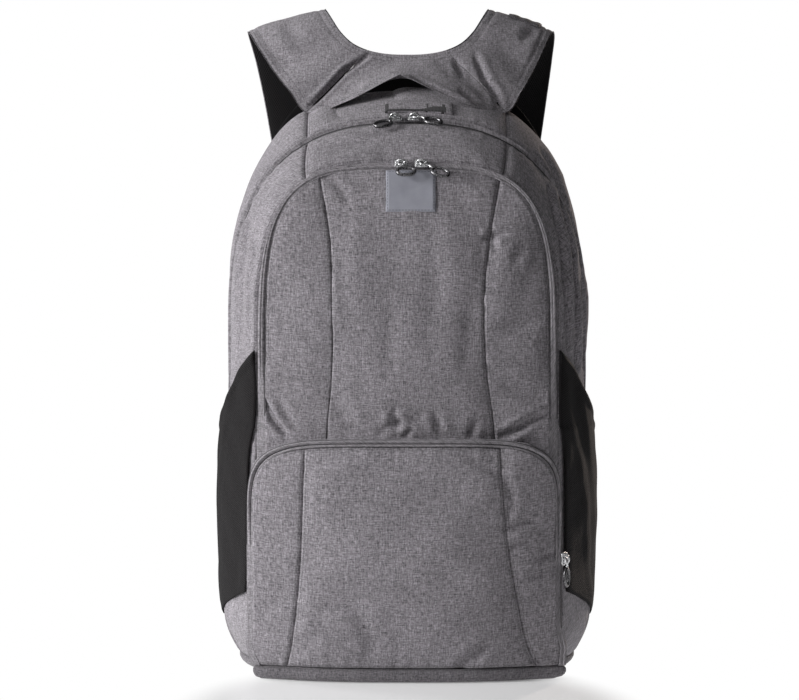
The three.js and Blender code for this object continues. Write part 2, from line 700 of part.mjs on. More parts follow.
// Grid over the back panel that follows its outline on all four sides
function backPlan(i, j, inset) {
  const top = backEdge(mix(-BACK_CORNER, BACK_CORNER, j), inset);
  const left = backEdge(-mix(BACK_CORNER, 1, i), inset);
  const right = backEdge(mix(BACK_CORNER, 1, i), inset);
  const foot = between(backEdge(-1, inset), backEdge(1, inset), j);
  const cornerLeft = backEdge(-BACK_CORNER, inset);
  const cornerRight = backEdge(BACK_CORNER, inset);
  return [0, 1].map((k) => {
    const edges = mix(top[k], foot[k], i) + mix(left[k], right[k], j);
    const corners = mix(mix(cornerLeft[k], cornerRight[k], j), foot[k], i);
    return edges - corners;
  });
}

function backFace(i, j) {
  const [x, z] = backPlan(i, j, 0);
  return new THREE.Vector3(x, SEAM_GAP, z);
}

function backPad(i, j) {
  const [x, z] = backPlan(i, j, BACK_PADDING / 4);
  const edge = Math.min(1, 5 * Math.min(j, 1 - j), 6 * i, 6 * (1 - i));
  return new THREE.Vector3(x, SEAM_GAP + BACK_PADDING * mix(0.5, 1, edge), z);
}
place('back_panel', sheet(12, 8, backPad, backFace), 'mesh');

// Side pockets: stretch mesh on the walls, closed below and open above
function sidePocket(side) {
  const on = (i, j, extra) => {
    const top = smooth(SIDE_POCKET, 'across', 'top', i) * BODY_HEIGHT;
    const bottom = smooth(SIDE_POCKET, 'across', 'bottom', i) * BODY_HEIGHT;
    const z = mix(bottom, top, j);
    const at = mix(SIDE_POCKET_BACK, smooth(SIDE_POCKET_FRONT, 'up', 'at', z / BODY_HEIGHT), i);
    const face = (place1, height) => sidePoint(side, place1, height);
    const normal = normalOf(face, at, z, 0.004, 0.5).multiplyScalar(-side);
    const across = smooth(SIDE_POCKET, 'across', 'full', i);
    const full = SIDE_POCKET_FULLNESS * across * (1 - (1 - j) ** 4) * (1 - 0.45 * j ** 4);
    return face(at, z).addScaledVector(normal, SEAM_GAP + ZIP_PROUD + full + extra);
  };
  const wall = (j) => mix(MESH_CLOTH, MESH_RIM, clamp(6 * j - 5));
  return sheet(10, 10, (i, j) => on(i, j, wall(j)), (i, j) => on(i, j, 0));
}
place('side_pocket_left', sidePocket(-1), 'mesh');
place('side_pocket_right', sidePocket(1), 'mesh');

// Harness: a yoke over the top of the bag and two padded straps that fold over and hang behind
function harnessCurve(edge) {
  return new THREE.CatmullRomCurve3(HARNESS.map((row) => {
    const reach = row[`${edge}Reach`];
    const y = reach * (reach < 0 ? BODY_DEPTH : HARNESS_REACH);
    return new THREE.Vector3(-row[edge] * HALF_WIDTH, y, row[`${edge}Up`] * HARNESS_HEIGHT);
  }), false, 'centripetal');
}
const FOLD_AT = 0.46;
const FOLD_SPAN = 0.17;
const OUT_EDGE = harnessCurve('out');
const IN_EDGE = harnessCurve('in');

function harnessPoint(t, across) {
  const at = Math.min(1, Math.abs(t));
  const point = OUT_EDGE.getPoint(at).lerp(IN_EDGE.getPoint(at), across);
  if (t > 0) point.x = -point.x - RIGHT_FOLD_IN * (1 - across) * Math.exp(-(((at - FOLD_AT) / FOLD_SPAN) ** 2));
  return point;
}

function harnessSheet(from, to, rows, columns) {
  const on = (i, j, down) => {
    const t = mix(from, to, i);
    const safe = Math.abs(t) > 0.99 ? Math.sign(t) * 0.99 : t;
    const normal = normalOf(harnessPoint, safe, Math.min(0.95, Math.max(0.05, j)), 0.004, 0.02);
    const thickness = harnessThickness(t);
    const round = mix(STRAP_EDGE_SHARE, 1, Math.sin(Math.PI * j) ** 0.6);
    const crown = thickness * (round - 1) * 0.5;
    return harnessPoint(t, j).addScaledVector(normal, down ? -thickness * round - crown : crown);
  };
  return sheet(rows, columns, (i, j) => on(i, j, false), (i, j) => on(i, j, true));
}

const YOKE_END = (YOKE_ROWS - 1) / (HARNESS.length - 1);

// The yoke is plain cloth, and the padding of the straps begins above it
function harnessThickness(t) {
  const padded = clamp((Math.abs(t) - YOKE_END) / (1.5 * YOKE_END));
  return mix(YOKE_CLOTH, STRAP_THICKNESS, padded);
}

const T_GAP = SEAM_GAP / HARNESS_HEIGHT;
place('yoke', harnessSheet(-YOKE_END + T_GAP, YOKE_END - T_GAP, 8, 4), 'grey');
place('shoulder_strap_left', harnessSheet(-1, -YOKE_END - T_GAP, STRAP_STEPS, 4), 'grey');
place('shoulder_strap_right', harnessSheet(YOKE_END + T_GAP, 1, STRAP_STEPS, 4), 'grey');

// Dark webbing laid over the fold of the right strap
const SHOULDER_TAB = { tFrom: 0.442, tTo: 0.515, from: 0.2, to: 0.68 };
function shoulderTab(i, j, lift) {
  const t = mix(SHOULDER_TAB.tFrom, SHOULDER_TAB.tTo, i);
  const across = mix(SHOULDER_TAB.from, SHOULDER_TAB.to, j);
  return harnessPoint(t, across).addScaledVector(normalOf(harnessPoint, t, across, 0.004, 0.02), lift);
}
const tabTop = (i, j) => shoulderTab(i, j, SEAM_GAP + WEB_THICKNESS);
const tabFoot = (i, j) => shoulderTab(i, j, SEAM_GAP);
place('shoulder_tab_right', sheet(8, 2, tabTop, tabFoot), 'web');

// Flat band along a path, from a list of places that each give a centre and the direction of the width
function ribbon(places, width, thickness, rows) {
  const path = new THREE.CatmullRomCurve3(places.map((spot) => spot.centre), false, 'centripetal');
  const on = (i, j, side) => {
    const slot = i * (places.length - 1);
    const k = Math.min(places.length - 2, Math.floor(slot));
    const tangent = path.getTangent(i);
    const wide = places[k].wide.clone().lerp(places[k + 1].wide, slot - k);
    wide.addScaledVector(tangent, -wide.dot(tangent)).normalize();
    const normal = tangent.clone().cross(wide);
    const edge = path.getPoint(i).addScaledVector(wide, (j - 0.5) * width);
    return edge.addScaledVector(normal, side * thickness / 2);
  };
  return sheet(rows, 1, (i, j) => on(i, j, 1), (i, j) => on(i, j, -1));
}

// Buckles, with a loop of webbing to the strap and the lower webbing down to an anchor in the side seam
const BUCKLE_HEIGHT = 3 * BUCKLE_BAR + 2 * SLOT_HEIGHT;
const LOOP_LENGTH = 8;
const LOOP_SEAT = 3;
const WEB_LIFT = (BUCKLE_THICKNESS + WEB_THICKNESS) / 2 + SEAM_GAP;

function buckleShape() {
  const half = WEB_WIDTH / 2 + SLOT_CLEARANCE;
  const outer = half + BUCKLE_BAR;
  const shape = new THREE.Shape([
    new THREE.Vector2(-outer, 0), new THREE.Vector2(outer, 0),
    new THREE.Vector2(outer, BUCKLE_HEIGHT), new THREE.Vector2(-outer, BUCKLE_HEIGHT),
  ]);
  for (const start of [BUCKLE_BAR, 2 * BUCKLE_BAR + SLOT_HEIGHT]) {
    shape.holes.push(new THREE.Path([
      new THREE.Vector2(-half, start), new THREE.Vector2(-half, start + SLOT_HEIGHT),
      new THREE.Vector2(half, start + SLOT_HEIGHT), new THREE.Vector2(half, start),
    ]));
  }
  const geometry = new THREE.ExtrudeGeometry(shape, { depth: BUCKLE_THICKNESS, bevelEnabled: false });
  return geometry.translate(0, 0, -BUCKLE_THICKNESS / 2);
}

for (const [name, side] of [['left', -1], ['right', 1]]) {
  const end = harnessPoint(side, 0.5);
  const anchorDepth = 2 * SEAM_GAP + BACK_PADDING + CLOTH + WEB_THICKNESS / 2 + 3 * SEAM_GAP;
  const seat = new THREE.Vector3(side * (ANCHOR_REACH - ANCHOR_IN), anchorDepth, ANCHOR_UP + ANCHOR_ABOVE);
  const down = seat.clone().sub(end).normalize();
  const wide = harnessPoint(side, 1).sub(harnessPoint(side, 0)).multiplyScalar(-side);
  wide.addScaledVector(down, -wide.dot(down)).normalize();
  const back = wide.clone().cross(down);
  const origin = end.clone().addScaledVector(down, LOOP_LENGTH + LOOP_SEAT);
  origin.addScaledVector(back, -Math.sign(back.y) * harnessThickness(1) / 2);
  const frame = new THREE.Matrix4().makeBasis(wide, down, back).setPosition(origin);
  place(`strap_buckle_${name}`, buckleShape(), 'plastic', frame);

  const spot = (d, n) => ({
    centre: new THREE.Vector3(0, d, n).applyMatrix4(frame), wide: wide.clone(),
  });
  const round = (edge, way) => [-60, -30, 0, 30, 60].map((degrees) => {
    const angle = THREE.MathUtils.degToRad(degrees);
    return spot(edge + way * WEB_LIFT * Math.cos(angle), -WEB_LIFT * Math.sin(angle));
  });
  const loop = [spot(-LOOP_LENGTH, WEB_LIFT), spot(0, WEB_LIFT), spot(BUCKLE_BAR, WEB_LIFT),
    ...round(BUCKLE_BAR, 1), spot(BUCKLE_BAR, -WEB_LIFT), spot(0, -WEB_LIFT), spot(-LOOP_LENGTH, -WEB_LIFT)];
  place(`strap_loop_${name}`, ribbon(loop, WEB_WIDTH, WEB_THICKNESS, LOOP_STEPS), 'web');

  const lowBar = BUCKLE_HEIGHT - BUCKLE_BAR;
  const facing = Math.sign(back.y);
  const seatAt = seat.clone().sub(origin).dot(down);
  const flatOn = (d) => spot(d, (anchorDepth - origin.y - d * down.y) / back.y);
  const turn = round(lowBar, -1);
  if (facing < 0) turn.reverse();
  const tailEnd = spot(BUCKLE_HEIGHT + STRAP_TAIL, facing * (WEB_LIFT + TAIL_LIFT));
  const tail = [tailEnd, spot(BUCKLE_HEIGHT, facing * WEB_LIFT), spot(lowBar, facing * WEB_LIFT)];
  const under = [spot(lowBar, -facing * WEB_LIFT), spot(BUCKLE_HEIGHT, -facing * WEB_LIFT)];
  const lead = [flatOn(seatAt), flatOn(seatAt + ANCHOR_OVERLAP)];
  const route = [...tail, ...turn, ...under, ...lead];
  place(`strap_webbing_${name}`, ribbon(route, WEB_WIDTH, WEB_THICKNESS, WEBBING_STEPS), 'web');

  const root = BACK_ROW.half - ANCHOR_ROOT / 2;
  const outline = new THREE.Shape([
    new THREE.Vector2(side * root, ANCHOR_UP + ANCHOR_HEIGHT / 2),
    new THREE.Vector2(side * mix(root, ANCHOR_REACH, 0.75), ANCHOR_UP + ANCHOR_HEIGHT * 0.3),
    new THREE.Vector2(side * ANCHOR_REACH, ANCHOR_UP + ANCHOR_HEIGHT * 0.1),
    new THREE.Vector2(side * (ANCHOR_REACH - 1), ANCHOR_UP - ANCHOR_HEIGHT * 0.15),
    new THREE.Vector2(side * mix(root, ANCHOR_REACH, 0.65), ANCHOR_UP - ANCHOR_HEIGHT * 0.36),
    new THREE.Vector2(side * root, ANCHOR_UP - ANCHOR_HEIGHT / 2),
  ]);
  const anchorTab = new THREE.ExtrudeGeometry(outline, { depth: CLOTH, bevelEnabled: false });
  anchorTab.rotateX(Math.PI / 2).translate(0, 2 * SEAM_GAP + BACK_PADDING + CLOTH, 0);
  place(`strap_anchor_${name}`, anchorTab, 'grey');
}

// Bare label below the front zip
const labelTop = FRONT_ROW.top - LABEL_BELOW_ZIP;
const labelPlan = (i, j) => [
  LABEL_RIGHT_OF_CENTRE + (j - 0.5) * LABEL_WIDTH, labelTop - i * LABEL_HEIGHT,
];
place('label', faceCloth(frontPoint, frontNormal, 5, 5, labelPlan, LABEL_THICKNESS, SEAM_GAP), 'label');

// v along the top of an arch at a distance to the right of its centre
const vAcross = (row, right) => (right / row.half) * ARCH_SHARE * (2 / Math.PI);

// Short strap behind the main zip that its pulls clip to
const lockRow = wallRow(MAIN_ZIP_AT);
const lockEnd = MAIN_ZIP_AT - 2.5 * ZIP_HALF_AT;
const lockStart = lockEnd - LOCK_TAB_WIDTH / BODY_DEPTH;
const lockAlong = (i) => vAcross(lockRow, LOCK_TAB_RIGHT_OF_CENTRE + (i - 0.5) * LOCK_TAB_LENGTH);
const lockLift = SEAM_GAP + WEB_THICKNESS;
place('lock_tab', wallCloth(lockStart, lockEnd, lockAlong, 8, 2, lockLift, WEB_THICKNESS), 'web');

// Sliders: a body on the zip with a bail over it. x runs along the zip, z off the cloth.
const BAIL_RISE = PULL_WIRE + 2 * PULL_CLEARANCE;

function sliderGeometry() {
  const long = SLIDER_LENGTH / 2;
  const wide = SLIDER_WIDTH / 2;
  const outline = new THREE.Shape([
    new THREE.Vector2(-long, -wide * 0.7), new THREE.Vector2(-long * 0.4, -wide),
    new THREE.Vector2(long, -wide), new THREE.Vector2(long, wide),
    new THREE.Vector2(-long * 0.4, wide), new THREE.Vector2(-long, wide * 0.7),
  ]);
  const body = new THREE.ExtrudeGeometry(outline, { depth: SLIDER_THICKNESS, bevelEnabled: false });
  const out = BAIL_LENGTH / 2;
  const inside = out - BAIL_WIRE;
  const foot = -SLIDER_THICKNESS / 2;
  const arch = new THREE.Shape([
    new THREE.Vector2(-out, foot), new THREE.Vector2(-inside, foot), new THREE.Vector2(-inside, BAIL_RISE),
    new THREE.Vector2(inside, BAIL_RISE), new THREE.Vector2(inside, foot), new THREE.Vector2(out, foot),
    new THREE.Vector2(out, BAIL_RISE + BAIL_WIRE * 0.4), new THREE.Vector2(inside, BAIL_RISE + BAIL_WIRE),
    new THREE.Vector2(-inside, BAIL_RISE + BAIL_WIRE), new THREE.Vector2(-out, BAIL_RISE + BAIL_WIRE * 0.4),
  ]);
  const bail = new THREE.ExtrudeGeometry(arch, { depth: BAIL_WIDTH, bevelEnabled: false });
  bail.rotateX(Math.PI / 2).translate(0, BAIL_WIDTH / 2, SLIDER_THICKNESS);
  return joined(body, bail);
}

// A pull: an eye held by the bail, and an oval loop that lies off it in the direction of turn
function pullGeometry(side, turn) {
  const wire = PULL_WIRE / 2;
  const eye = new THREE.TorusGeometry(PULL_EYE / 2, wire, 5, 12);
  const ring = PULL_WIDTH / 2 - wire;
  const stretch = PULL_LENGTH / PULL_WIDTH;
  const oval = new THREE.TorusGeometry(ring, wire, 5, 16).scale(stretch, 1, 1);
  oval.translate(PULL_EYE / 2 + ring * stretch, 0, 0).rotateZ(THREE.MathUtils.degToRad(turn));
  const pull = joined(eye, oval);
  return pull.translate(side * PULL_EYE / 2, 0, SLIDER_THICKNESS + PULL_CLEARANCE + wire);
}

function sliderSet(name, point, normal, along, side, turn) {
  const across = normal.clone().cross(along).normalize();
  const forward = across.clone().cross(normal);
  const seat = point.clone().addScaledVector(normal, ZIP_PROUD + 2 * SEAM_GAP);
  const frame = new THREE.Matrix4().makeBasis(forward, across, normal).setPosition(seat);
  place(`${name}_slider`, sliderGeometry(), 'metal', frame);
  place(`${name}_pull`, pullGeometry(side, turn), 'metal', frame);
}

// Where the sliders sit. right: distance right of the centre; side: which leg of the bail holds the eye;
// turn: direction of the pull in degrees from the run of the zip.
const SLIDERS = [
  { name: 'main_left', at: MAIN_ZIP_AT, right: -7, side: -1, turn: 225 },
  { name: 'main_right', at: MAIN_ZIP_AT, right: 9, side: 1, turn: -30 },
  { name: 'front_left', at: (FRONT_ZIP_OUTER + FRONT_ZIP_INNER) / 2, right: -7, side: 1, turn: -85 },
  { name: 'front_right', at: (FRONT_ZIP_OUTER + FRONT_ZIP_INNER) / 2, right: 10, side: 1, turn: -30 },
];
for (const { name, at, right, side, turn } of SLIDERS) {
  const v = vAcross(wallRow(at), right);
  const along = wallPoint(at, v + 0.004).sub(wallPoint(at, v - 0.004)).normalize();
  sliderSet(name, wallPoint(at, v), wallNormal(at, v), along, side, turn);
}

// The lower pocket's slider stands at its right edge, with the pull hanging down
const POCKET_SLIDER_V = 0.64;
function pocketZipPoint(v) {
  const [x, z] = pocketEdge(v, POCKET_ZIP_WIDTH / 2);
  return pocketPoint(x, z);
}
const pocketAlong = pocketZipPoint(POCKET_SLIDER_V + 0.004).sub(pocketZipPoint(POCKET_SLIDER_V)).normalize();
const pocketFacing = pocketNormal(...pocketEdge(POCKET_SLIDER_V, POCKET_ZIP_WIDTH / 2));
sliderSet('pocket', pocketZipPoint(POCKET_SLIDER_V), pocketFacing, pocketAlong, 1, 0);

const box = new THREE.Box3().setFromObject(group);
const middle = box.getCenter(new THREE.Vector3());
group.position.set(-middle.x, -middle.y, -box.min.z);

export default group;
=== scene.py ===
import math
import bpy
import numpy as np
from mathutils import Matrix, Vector

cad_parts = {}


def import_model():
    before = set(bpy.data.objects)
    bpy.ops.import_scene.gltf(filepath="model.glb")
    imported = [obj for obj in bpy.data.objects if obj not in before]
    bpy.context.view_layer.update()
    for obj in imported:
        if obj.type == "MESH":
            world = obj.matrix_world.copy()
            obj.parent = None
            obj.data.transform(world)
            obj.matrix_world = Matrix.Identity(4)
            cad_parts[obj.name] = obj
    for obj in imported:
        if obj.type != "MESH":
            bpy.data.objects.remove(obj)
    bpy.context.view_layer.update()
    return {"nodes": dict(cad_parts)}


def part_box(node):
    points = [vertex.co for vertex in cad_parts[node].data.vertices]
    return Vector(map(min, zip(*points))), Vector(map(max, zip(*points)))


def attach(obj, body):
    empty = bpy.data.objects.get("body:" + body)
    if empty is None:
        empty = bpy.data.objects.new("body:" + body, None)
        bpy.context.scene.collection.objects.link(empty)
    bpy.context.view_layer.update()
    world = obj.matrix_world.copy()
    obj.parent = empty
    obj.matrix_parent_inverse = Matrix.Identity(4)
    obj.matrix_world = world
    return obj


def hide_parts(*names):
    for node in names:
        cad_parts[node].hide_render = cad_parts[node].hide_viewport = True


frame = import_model()

# Camera: 2.5 m away, 5 degrees above the middle of the bag
LENS = 136.11
SENSOR = 36.0
DISTANCE = 2500.0
ELEVATION = math.radians(5.0)
AIM = np.array([-6.2, -80.0, 261.7])
PIXELS_ACROSS = 799
PHOTO_CENTRE = (399.5, 350.0)
FOCAL = LENS / SENSOR * PIXELS_ACROSS

# Place of the part's own y = 0, where the walls meet the back panel
SEAM_GAP = 0.3
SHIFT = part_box("back_panel")[0][1] * 1000.0 - SEAM_GAP

# Sizes of the part, in millimetres
BODY_HEIGHT = 481.0
BODY_WIDTH = 293.0
BODY_DEPTH = 162.0
CLOTH = 2.4
BASE_HEIGHT = 12.0
BASE_CLOTH = 3.0
BASE_ROUNDING = 7.0
BOTTOM_TUCK = 16.0
TUCK_HEIGHT = 50.0
FOOT_TUCK_SHARE = 0.4
WING_FLARE = 4.5
WING_HEIGHT = 0.9 * TUCK_HEIGHT
WING_SPAN = 0.6 * TUCK_HEIGHT
FRONT_FULLNESS = 16.0
FRONT_SWELL_POWER = 2.2
SEAM_VALLEY = 1.2
MAIN_ZIP_WIDTH = 7.0
ZIP_THICKNESS = 3.2
ZIP_PROUD = 0.8
POCKET_WIDTH = 259.0
POCKET_HEIGHT = 198.0
POCKET_STAND_OFF = 8.0
POCKET_FULLNESS = 28.0
POCKET_ZIP_WIDTH = 5.5
GUSSET_CLEARANCE = 3.0
SIDE_POCKET_FULLNESS = 11.5
MESH_CLOTH = 1.4
BACK_PADDING = 8.0
BACK_HEIGHT = 497.0
STRAP_THICKNESS = 9.0
HARNESS_HEIGHT = BODY_HEIGHT * 1.1375
HARNESS_REACH = 74.0
STRAP_EDGE_SHARE = 0.45
RIGHT_FOLD_IN = 11.0
FOLD_AT = 0.46
FOLD_SPAN = 0.17
YOKE_CLOTH = 3.5
LABEL_WIDTH = 40.0
LABEL_HEIGHT = 33.0
LABEL_RIGHT_OF_CENTRE = 2.8
LABEL_BELOW_ZIP = 1.5
PATCH_LIFT = SEAM_GAP + 1.2
LOCK_TAB_LENGTH = 55.0
LOCK_TAB_WIDTH = 12.0
LOCK_TAB_RIGHT_OF_CENTRE = 9.5
WEB_THICKNESS = 2.0
WEB_WIDTH = 24.0
BUCKLE_THICKNESS = 3.0
BUCKLE_BAR = 4.0
SLOT_HEIGHT = 5.4
STRAP_TAIL = 42.0
TAIL_LIFT = 3.0
ANCHOR_REACH = 159.0
ANCHOR_UP = 86.0
ANCHOR_HEIGHT = 66.0
ANCHOR_ROOT = 34.0
ANCHOR_IN = 21.0
ANCHOR_ABOVE = 24.0
ANCHOR_OVERLAP = 16.0
LOOP_LENGTH = 8.0
LOOP_SEAT = 3.0
SLIDER_LENGTH = 11.0
SLIDER_WIDTH = 8.0
PULL_LENGTH = 14.0
PULL_WIDTH = 8.5
HALF_WIDTH = BODY_WIDTH / 2
POCKET_HALF = POCKET_WIDTH / 2
ARCH_SHARE = 0.5
WALL_SEAM_V = 32.0 / 90.0 * ARCH_SHARE
MAIN_ZIP_AT = 0.55
FRONT_ZIP_OUTER = 0.86
FRONT_ZIP_INNER = 0.905
EDGE_INSET = 0.25
POCKET_POWER = 4.8
POCKET_WAIST = 0.6 * POCKET_HEIGHT
POCKET_ARCH = 0.56
POCKET_SWELL_POWER = 2.5
POCKET_ACROSS_SHARE = 0.62
POCKET_SAG_HEIGHT = 0.55 * POCKET_HEIGHT
POCKET_LEAN = 4.5
POCKET_FOOT = 17.0
YOKE_LEAN = 5.5
YOKE_RISE = 1.0
YOKE_FORWARD = 6.0
YOKE_DROP = 0.8
BACK_CORNER = 0.6 * ARCH_SHARE
AT_GAP = SEAM_GAP / BODY_DEPTH / 2
V_GAP = SEAM_GAP / (BODY_HEIGHT * 1.2) / 2
ZIP_HALF_AT = MAIN_ZIP_WIDTH / BODY_DEPTH / 2

# at, half, top, waist, power, depth at the top, depth from the waist down
WALL = np.array([
    [0.0, 0.945, 0.98, 0.62, 2.6, 0.0, 0.0],
    [0.1, 0.982, 0.988, 0.615, 2.6, 0.09, 0.1],
    [0.3, 1.0, 0.99, 0.605, 2.6, 0.22, 0.3],
    [0.55, 0.996, 0.9385, 0.592, 2.55, 0.525, 0.58],
    [0.72, 0.925, 0.906, 0.56, 2.9, 0.655, 0.75],
    [0.86, 0.8314, 0.8696, 0.52, 3.5, 0.778, 0.889],
    [0.905, 0.7816, 0.8586, 0.52, 4.0, 0.81, 0.91],
])
# up, left, right
FRONT_SEAMS = np.array([[0.0, 0.46, 0.5], [0.416, 0.44, 0.479], [0.525, 0.412, 0.434],
                        [0.642, 0.412, 0.422], [0.74, 0.423, 0.454], [0.85, 0.484, 0.516]])
POCKET_SEAMS = np.array([[0.0, 0.75, 0.785], [0.25, 0.7, 0.73], [0.5, 0.664, 0.655],
                         [0.82, 0.645, 0.6], [1.0, 0.632, 0.584]])
# across, top, bottom, full
SIDE_POCKET = np.array([[0.0, 0.4, 0.075, 0.0], [0.32, 0.413, 0.077, 1.0], [0.5, 0.436, 0.086, 0.68],
                        [0.7, 0.48, 0.112, 0.3], [0.86, 0.524, 0.13, 0.1], [1.0, 0.555, 0.145, 0.0]])
SIDE_POCKET_BACK = 0.08
# up, at
SIDE_POCKET_FRONT = {-1: np.array([[0.0, 0.832], [0.39, 0.832], [0.425, 0.857], [0.56, 0.858]]),
                     1: np.array([[0.0, 0.84], [0.39, 0.84], [0.425, 0.857], [0.56, 0.858]])}
# out, outReach, outUp, in, inReach, inUp
HARNESS = np.array([
    [0.0, -0.296, 0.894, 0.0, -0.111, 0.925],
    [0.341, -0.34, 0.852, 0.115, -0.108, 0.9256],
    [0.573, -0.278, 0.837, 0.226, -0.094, 0.9312],
    [0.669, -0.198, 0.868, 0.314, -0.065, 0.9425],
    [0.751, -0.1, 0.894, 0.384, -0.006, 0.9605],
    [0.86, 0.03, 0.936, 0.434, 0.12, 0.981],
    [0.928, 0.35, 0.963, 0.476, 0.37, 0.998],
    [0.935, 0.65, 0.958, 0.48, 0.68, 0.993],
    [0.894, 0.89, 0.914, 0.45, 0.92, 0.936],
    [0.833, 0.97, 0.832, 0.389, 1.0, 0.845],
    [0.765, 0.84, 0.713, 0.321, 0.865, 0.717],
    [0.737, 0.62, 0.585, 0.328, 0.62, 0.581],
    [0.765, 0.43, 0.479, 0.41, 0.43, 0.472],
    [0.805, 0.32, 0.4, 0.52, 0.32, 0.39],
])
YOKE_END = 2.0 / (len(HARNESS) - 1)
T_GAP = SEAM_GAP / HARNESS_HEIGHT

# Heights in mm between which seams that fade out begin to show and are whole
FRONT_FADE = (232.0, 264.0)
POCKET_FADE = (105.0, 150.0)
INNER_FADE = (300.0, 350.0)
# Sag of the top wall under the yoke: its middle and half width in the photograph's pixels, its depth in mm
SAG_MIDDLE, SAG_HALF, SAG_DEPTH = 364.0, 30.0, 7.5
# It begins at the first depth and is whole at the second
SAG_BEHIND = (-80.0, -60.0)
# Half width in mm of the groove along a seam, and how far its stitches go where the seam fades out
SEAM_GROOVE = 1.1
STITCHES_AWAY = 9.0
# Steps for directions across a surface: in shares of its rows or columns, and in mm
SHARE_STEP, MM_STEP = 0.004, 0.5
# Creases seen on the front, as lines in the photograph's pixels: points, depth in mm, half width in pixels,
# which are both scaled by these
CREASE_DEPTH, CREASE_WIDTH = 1.6, 1.2
FRONT_CREASES = [
    ([(260, 396), (274, 420), (288, 436)], 3.2, 2.4),
    ([(277, 398), (296, 430)], 0.9, 3.0),
    ([(394, 408), (398, 433)], 1.2, 3.6),
    ([(434, 412), (441, 434)], 1.1, 3.2),
    ([(350, 424), (372, 436)], 1.0, 3.6),
    ([(508, 434), (528, 421), (548, 415)], 1.9, 2.8),
    ([(345, 200), (342, 260), (349, 330)], 0.5, 6.0),
    ([(430, 190), (436, 280), (428, 360)], 0.5, 7.0),
    ([(392, 300), (388, 380)], 0.45, 6.0),
    ([(470, 300), (466, 380)], 0.45, 6.0),
    ([(333, 396), (345, 418), (352, 436)], 0.9, 5.0),
    ([(375, 437), (392, 424), (420, 420)], 0.9, 3.0),
    ([(404, 437), (412, 428)], 1.0, 2.5),
    ([(470, 437), (476, 420)], 0.9, 3.0),
    ([(498, 437), (530, 425)], 1.5, 3.0),
    ([(482, 240), (506, 233)], 1.3, 2.6),
    ([(490, 228), (495, 250)], 1.0, 2.6),
    ([(330, 178), (350, 199)], 1.1, 3.5),
    ([(512, 262), (524, 246)], 1.0, 4.0),
    ([(300, 330), (320, 340)], 0.8, 5.0),
    ([(268, 300), (300, 290)], 0.7, 6.0),
    ([(500, 330), (546, 318)], 0.8, 6.0),
    ([(500, 388), (548, 396)], 0.9, 6.0),
]
POCKET_CREASES = [
    ([(503, 529), (535, 520)], 1.5, 3.0),
    ([(509, 548), (530, 541)], 1.1, 3.0),
    ([(504, 470), (512, 500), (506, 524)], 0.8, 3.5),
    ([(536, 560), (556, 552)], 1.3, 2.6),
    ([(512, 590), (545, 572)], 1.0, 4.0),
    ([(352, 600), (372, 640), (366, 664)], 0.7, 6.0),
    ([(430, 560), (480, 600)], 0.45, 8.0),
    ([(330, 500), (380, 520)], 0.4, 8.0),
    ([(296, 612), (330, 622)], 1.2, 5.0),
    ([(300, 640), (326, 634)], 1.0, 5.0),
    ([(456, 668), (490, 645)], 1.5, 4.0),
    ([(530, 663), (547, 654)], 1.3, 3.0),
    ([(300, 470), (330, 462)], 0.9, 4.0),
    ([(470, 462), (503, 474)], 0.9, 4.0),
    ([(255, 540), (296, 548)], 0.9, 6.0),
    ([(258, 610), (290, 598)], 0.9, 6.0),
    ([(520, 600), (553, 590)], 1.0, 5.0),
]
TOP_CREASES = [
    ([(309, 107), (325, 92), (345, 71), (369, 55)], 2.6, 1.9),
    ([(330, 106), (362, 90), (391, 75)], 0.8, 1.3),
    ([(412, 76), (440, 90), (478, 110)], 0.9, 1.3),
    ([(312, 114), (330, 107)], 1.4, 2.0),
    ([(343, 93), (362, 86)], 1.4, 2.5),
    ([(455, 59), (463, 74)], 1.5, 2.6),
    ([(475, 54), (485, 80), (497, 96), (501, 116)], 1.8, 2.6),
    ([(460, 91), (477, 101)], 1.6, 2.0),
    ([(262, 40), (290, 66)], 0.9, 5.0),
    ([(520, 40), (536, 30)], 0.9, 4.0),
    ([(285, 22), (300, 44)], 0.8, 6.0),
    ([(380, 62), (420, 60)], 0.7, 5.0),
]
WALL_CREASES = [
    ([(250, 205), (245, 250), (241, 300)], 2.0, 2.6),
    ([(243, 290), (240, 350)], 1.6, 2.4),
    ([(256, 230), (250, 290), (249, 345)], 1.2, 2.4),
    ([(560, 200), (570, 252), (574, 320), (576, 370)], 4.6, 1.5),
    ([(548, 186), (560, 240), (565, 300), (567, 350)], 3.6, 1.5),
    ([(559, 300), (562, 352)], 2.0, 1.6),
    ([(581, 280), (583, 370)], 2.4, 1.4),
    ([(540, 150), (556, 178), (563, 205)], 3.0, 1.6),
    ([(280, 172), (262, 196)], 1.0, 3.0),
    ([(530, 150), (545, 176)], 1.2, 3.0),
    ([(330, 150), (372, 141)], 0.8, 4.0),
    ([(225, 420), (230, 470)], 0.6, 4.0),
]


def mix(a, b, t):
    return a + (b - a) * t


def unit(vectors):
    return vectors / np.linalg.norm(vectors, axis=-1, keepdims=True)


def shares(rows, columns):
    """Shares of the way down the rows and along the columns of a grid."""
    return np.meshgrid(np.linspace(0, 1, rows + 1), np.linspace(0, 1, columns + 1), indexing="ij")


def ramp(value, low, high):
    """Share of the way from low to high."""
    return np.clip((value - low) / (high - low), 0, 1)


def hump(value, width, power=2):
    """1 where the value is 0, falling smoothly to 0 beyond the width."""
    return np.exp(-(value / width) ** power)


